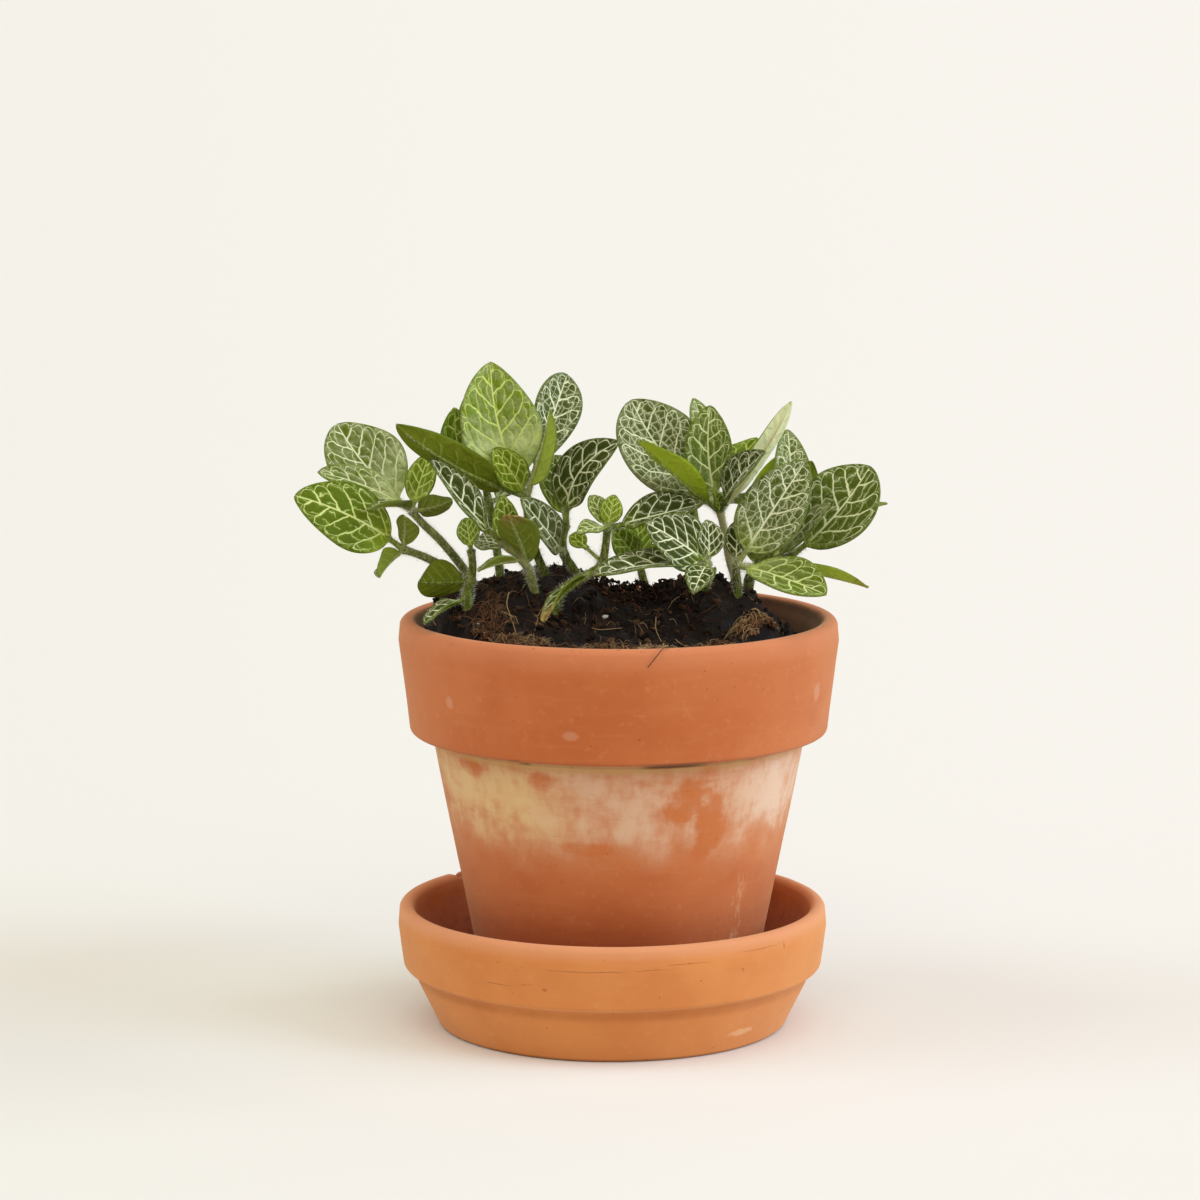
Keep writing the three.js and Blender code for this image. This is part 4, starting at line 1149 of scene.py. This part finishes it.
def downy(bm, points, radii, perMillimetre, size=1.0):  # short hairs that stand out from a stem
    part = bmesh.new()
    for (start, end), radius in zip(zip(points, points[1:]), radii):
        way = end - start
        count = way.length * perMillimetre
        for _ in range(int(count) + (chance.random() < count % 1)):
            out = aside(way.normalized())
            lean = (out + way.normalized() * chance.uniform(-0.2, 0.5)).normalized()
            spot = start + way * chance.random() + out * radius * 0.85
            addHair(part, spot, lean, chance.uniform(hairs["short"], hairs["long"]) * size)
    pour(bm, part)


def addStem(stems, hair, points, facts):
    steps = stemShape["steps"]
    way = [curveThrough(points, i / steps) for i in range(steps + 1)]
    knots = {row[0] / (len(points) - 1) for row in facts["leaves"]}  # the stem is thicker there
    radii = []
    for i in range(steps + 1):
        share = i / steps
        near = min(abs(share - knot) for knot in knots)
        thick = stemShape["base"] + (stemShape["top"] - stemShape["base"]) * share
        radii.append(thick + stemShape["knot"] * math.exp(-((near / stemShape["knotReach"]) ** 2)))
    tube(stems, way, radii, stemShape["sides"], (0, facts.get("pale", 0), 0))
    above = [(a, b) for a, b in zip(way, way[1:]) if a.z > groundHeight(a.x, a.y) - 1]
    downy(hair, [a for a, _ in above] + [way[-1]], radii[-len(above) - 1:], hairs["onStem"])


def addBlade(blades, blade, looks):
    age, net, haze, brown = looks
    layers = blades.verts.layers.float_vector
    start = blade.facts["stalk"] * leaf["bladeStart"]
    seed = chance.random()
    grid = bmesh.ops.create_grid(blades, x_segments=leaf["across"], y_segments=leaf["along"], size=1)
    for vert in grid["verts"]:
        u = vert.co.x
        share = (vert.co.y + 1) / 2
        v = start + (1 - start) * (0.45 * share + 0.55 * (1 - math.cos(math.pi * share)) / 2)
        vert.co = blade.at(u, v)
        vert[layers["blade"]] = (u, v, blade.half(v))
        vert[layers["kind"]] = (seed, blade.length, age)
        vert[layers["look"]] = (net, haze, brown)


def addStalk(stems, hair, blade, looks):  # the stalk runs on as a raised rib under the blade
    age, _, haze, _ = looks
    start = blade.facts["stalk"] * leaf["bladeStart"]
    shares = [0, 0.04, 0.08, start, start + 0.05, 0.35, 0.5, 0.65, 0.8, 0.92]
    thick = [1.0, 0.95, 0.85, 0.75, 0.7, 0.52, 0.42, 0.32, 0.22, 0.1]
    rib = []
    for share, radius in zip(shares, thick):
        sink = smoothstep(share, start - 0.05, start + 0.1) * (radius * 0.55 + 0.1)
        rib.append(blade.at(0, share) - blade.face * sink)
    size = min(1.0, blade.width / 12 + 0.25)
    radii = [radius * size for radius in thick]
    # the leaf's haze, its painted sheen, also paints the stalk paler
    tube(stems, rib, radii, leaf["ribSides"], (1 - age * 0.6, haze * 0.7, 0))
    downy(hair, rib[:5], thick, hairs["onStalk"])
    downy(hair, rib[4:], thick[4:], hairs["onRib"], 0.5)


def makeShoot(name, facts, upper, under, skin, down):
    points = [Vector(point) for point in facts["stem"]]
    blades = bmesh.new()
    for layer in ("blade", "kind", "look"):
        blades.verts.layers.float_vector.new(layer)
    stems = bmesh.new()
    stems.verts.layers.float_vector.new("kind")
    hair = bmesh.new()
    addStem(stems, hair, points, facts)
    for index, row in enumerate(facts["leaves"]):
        blade = Blade(points[row[0]], row, index)
        addBlade(blades, blade, row[4])
        addStalk(stems, hair, blade, row[4])

    leaves = keep(name + "_leaves", blades, [upper, under], ["shoot_" + name])
    thickness = leaves.modifiers.new("thickness", "SOLIDIFY")
    thickness.thickness = leaf["thickness"] * millimetre
    thickness.offset = 0
    thickness.material_offset = 1
    thickness.material_offset_rim = 0
    keep(name + "_stems", stems, [skin], ["shoot_" + name])
    keep(name + "_hairs", hair, [down])


def makePlant():
    finishes = upperFinish(), underFinish(), stemFinish(), hairFinish()
    for name, facts in shoots.items():
        makeShoot(name, facts, *finishes)
        print("shoot made:", name)


studio = {
    "sky": (0.50, 0.455, 0.385, 1), "skyStrength": 1.0,
    "lens": 123.3, "distance": 1.2, "height": 0.306, "sideways": -0.00365, "pitch": 8.5,
    # the floor's half width in metres, and its patch of painted light: reach in millimetres, place in metres
    "floor": 110, "lightReach": (40, 125), "lightLeft": 0.022, "lightBack": 0.015, "lightSquash": 0.75,
}
suns = [  # degrees to the right of the front, height in degrees, strength, softness in degrees, colour
    (70, 28, 1.45, 30, (0.56, 0.74, 1.0)),
    (102, 20, 1.02, 30, (0.74, 0.88, 1.0)),
    (-84, 36, 0.70, 40, (0.74, 0.88, 1.0)),
    (10, 66, 1.40, 80, (1.0, 0.95, 0.83)),
]


def makeStudio():
    finish = Finish("pale_floor", Roughness=0.95, Specular_IOR_Level=0.0)
    x, y, _ = finish.split(finish.place())
    # painted light: the floor is painted darker towards the left and lighter towards the right
    paintedLightRight = finish.smooth(x / (y + studio["distance"]), -0.16, 0.12)
    colour = finish.mix(rgb(225, 222, 216), rgb(229, 225, 221), paintedLightRight)
    # keeps the shade beside the saucer as light as in the photo
    across = x * studio["lightSquash"] + studio["lightLeft"]
    near = 1 - finish.smooth(finish.away(across, y - studio["lightBack"]), *studio["lightReach"])
    finish.put("Base Color", finish.mix(colour, rgb(244, 249, 243), near * 0.5))
    bm = bmesh.new()
    bmesh.ops.create_grid(bm, x_segments=4, y_segments=4, size=studio["floor"])
    mesh = bpy.data.meshes.new("floor")
    bm.to_mesh(mesh)
    bm.free()
    mesh.materials.append(finish.material)
    floor = bpy.data.objects.new("floor", mesh)
    scene.collection.objects.link(floor)

    scene.world = bpy.data.worlds.new("studio")
    scene.world.use_nodes = True
    sky = scene.world.node_tree.nodes["Background"]
    sky.inputs["Color"].default_value = studio["sky"]
    sky.inputs["Strength"].default_value = studio["skyStrength"]
    for i, (turn, height, strength, softness, colour) in enumerate(suns):
        light = bpy.data.lights.new(f"sun_{i}", "SUN")
        light.energy = strength
        light.angle = math.radians(softness)
        light.color = colour
        lamp = bpy.data.objects.new(f"sun_{i}", light)
        lamp.rotation_euler = (math.radians(90 - height), 0, math.radians(turn))
        scene.collection.objects.link(lamp)

    camera = bpy.data.cameras.new("camera")
    camera.lens = studio["lens"]
    view = bpy.data.objects.new("camera", camera)
    view.location = (studio["sideways"], -studio["distance"], studio["height"])
    view.rotation_euler = (math.radians(90 - studio["pitch"]), 0, 0)
    scene.collection.objects.link(view)
    scene.camera = view
    scene.view_settings.view_transform = "Standard"
    print("studio made")


makeStudio()
makePot()
makeSaucer()
makeSoil()
makeCrumbs()
makeFibres()
makePlant()
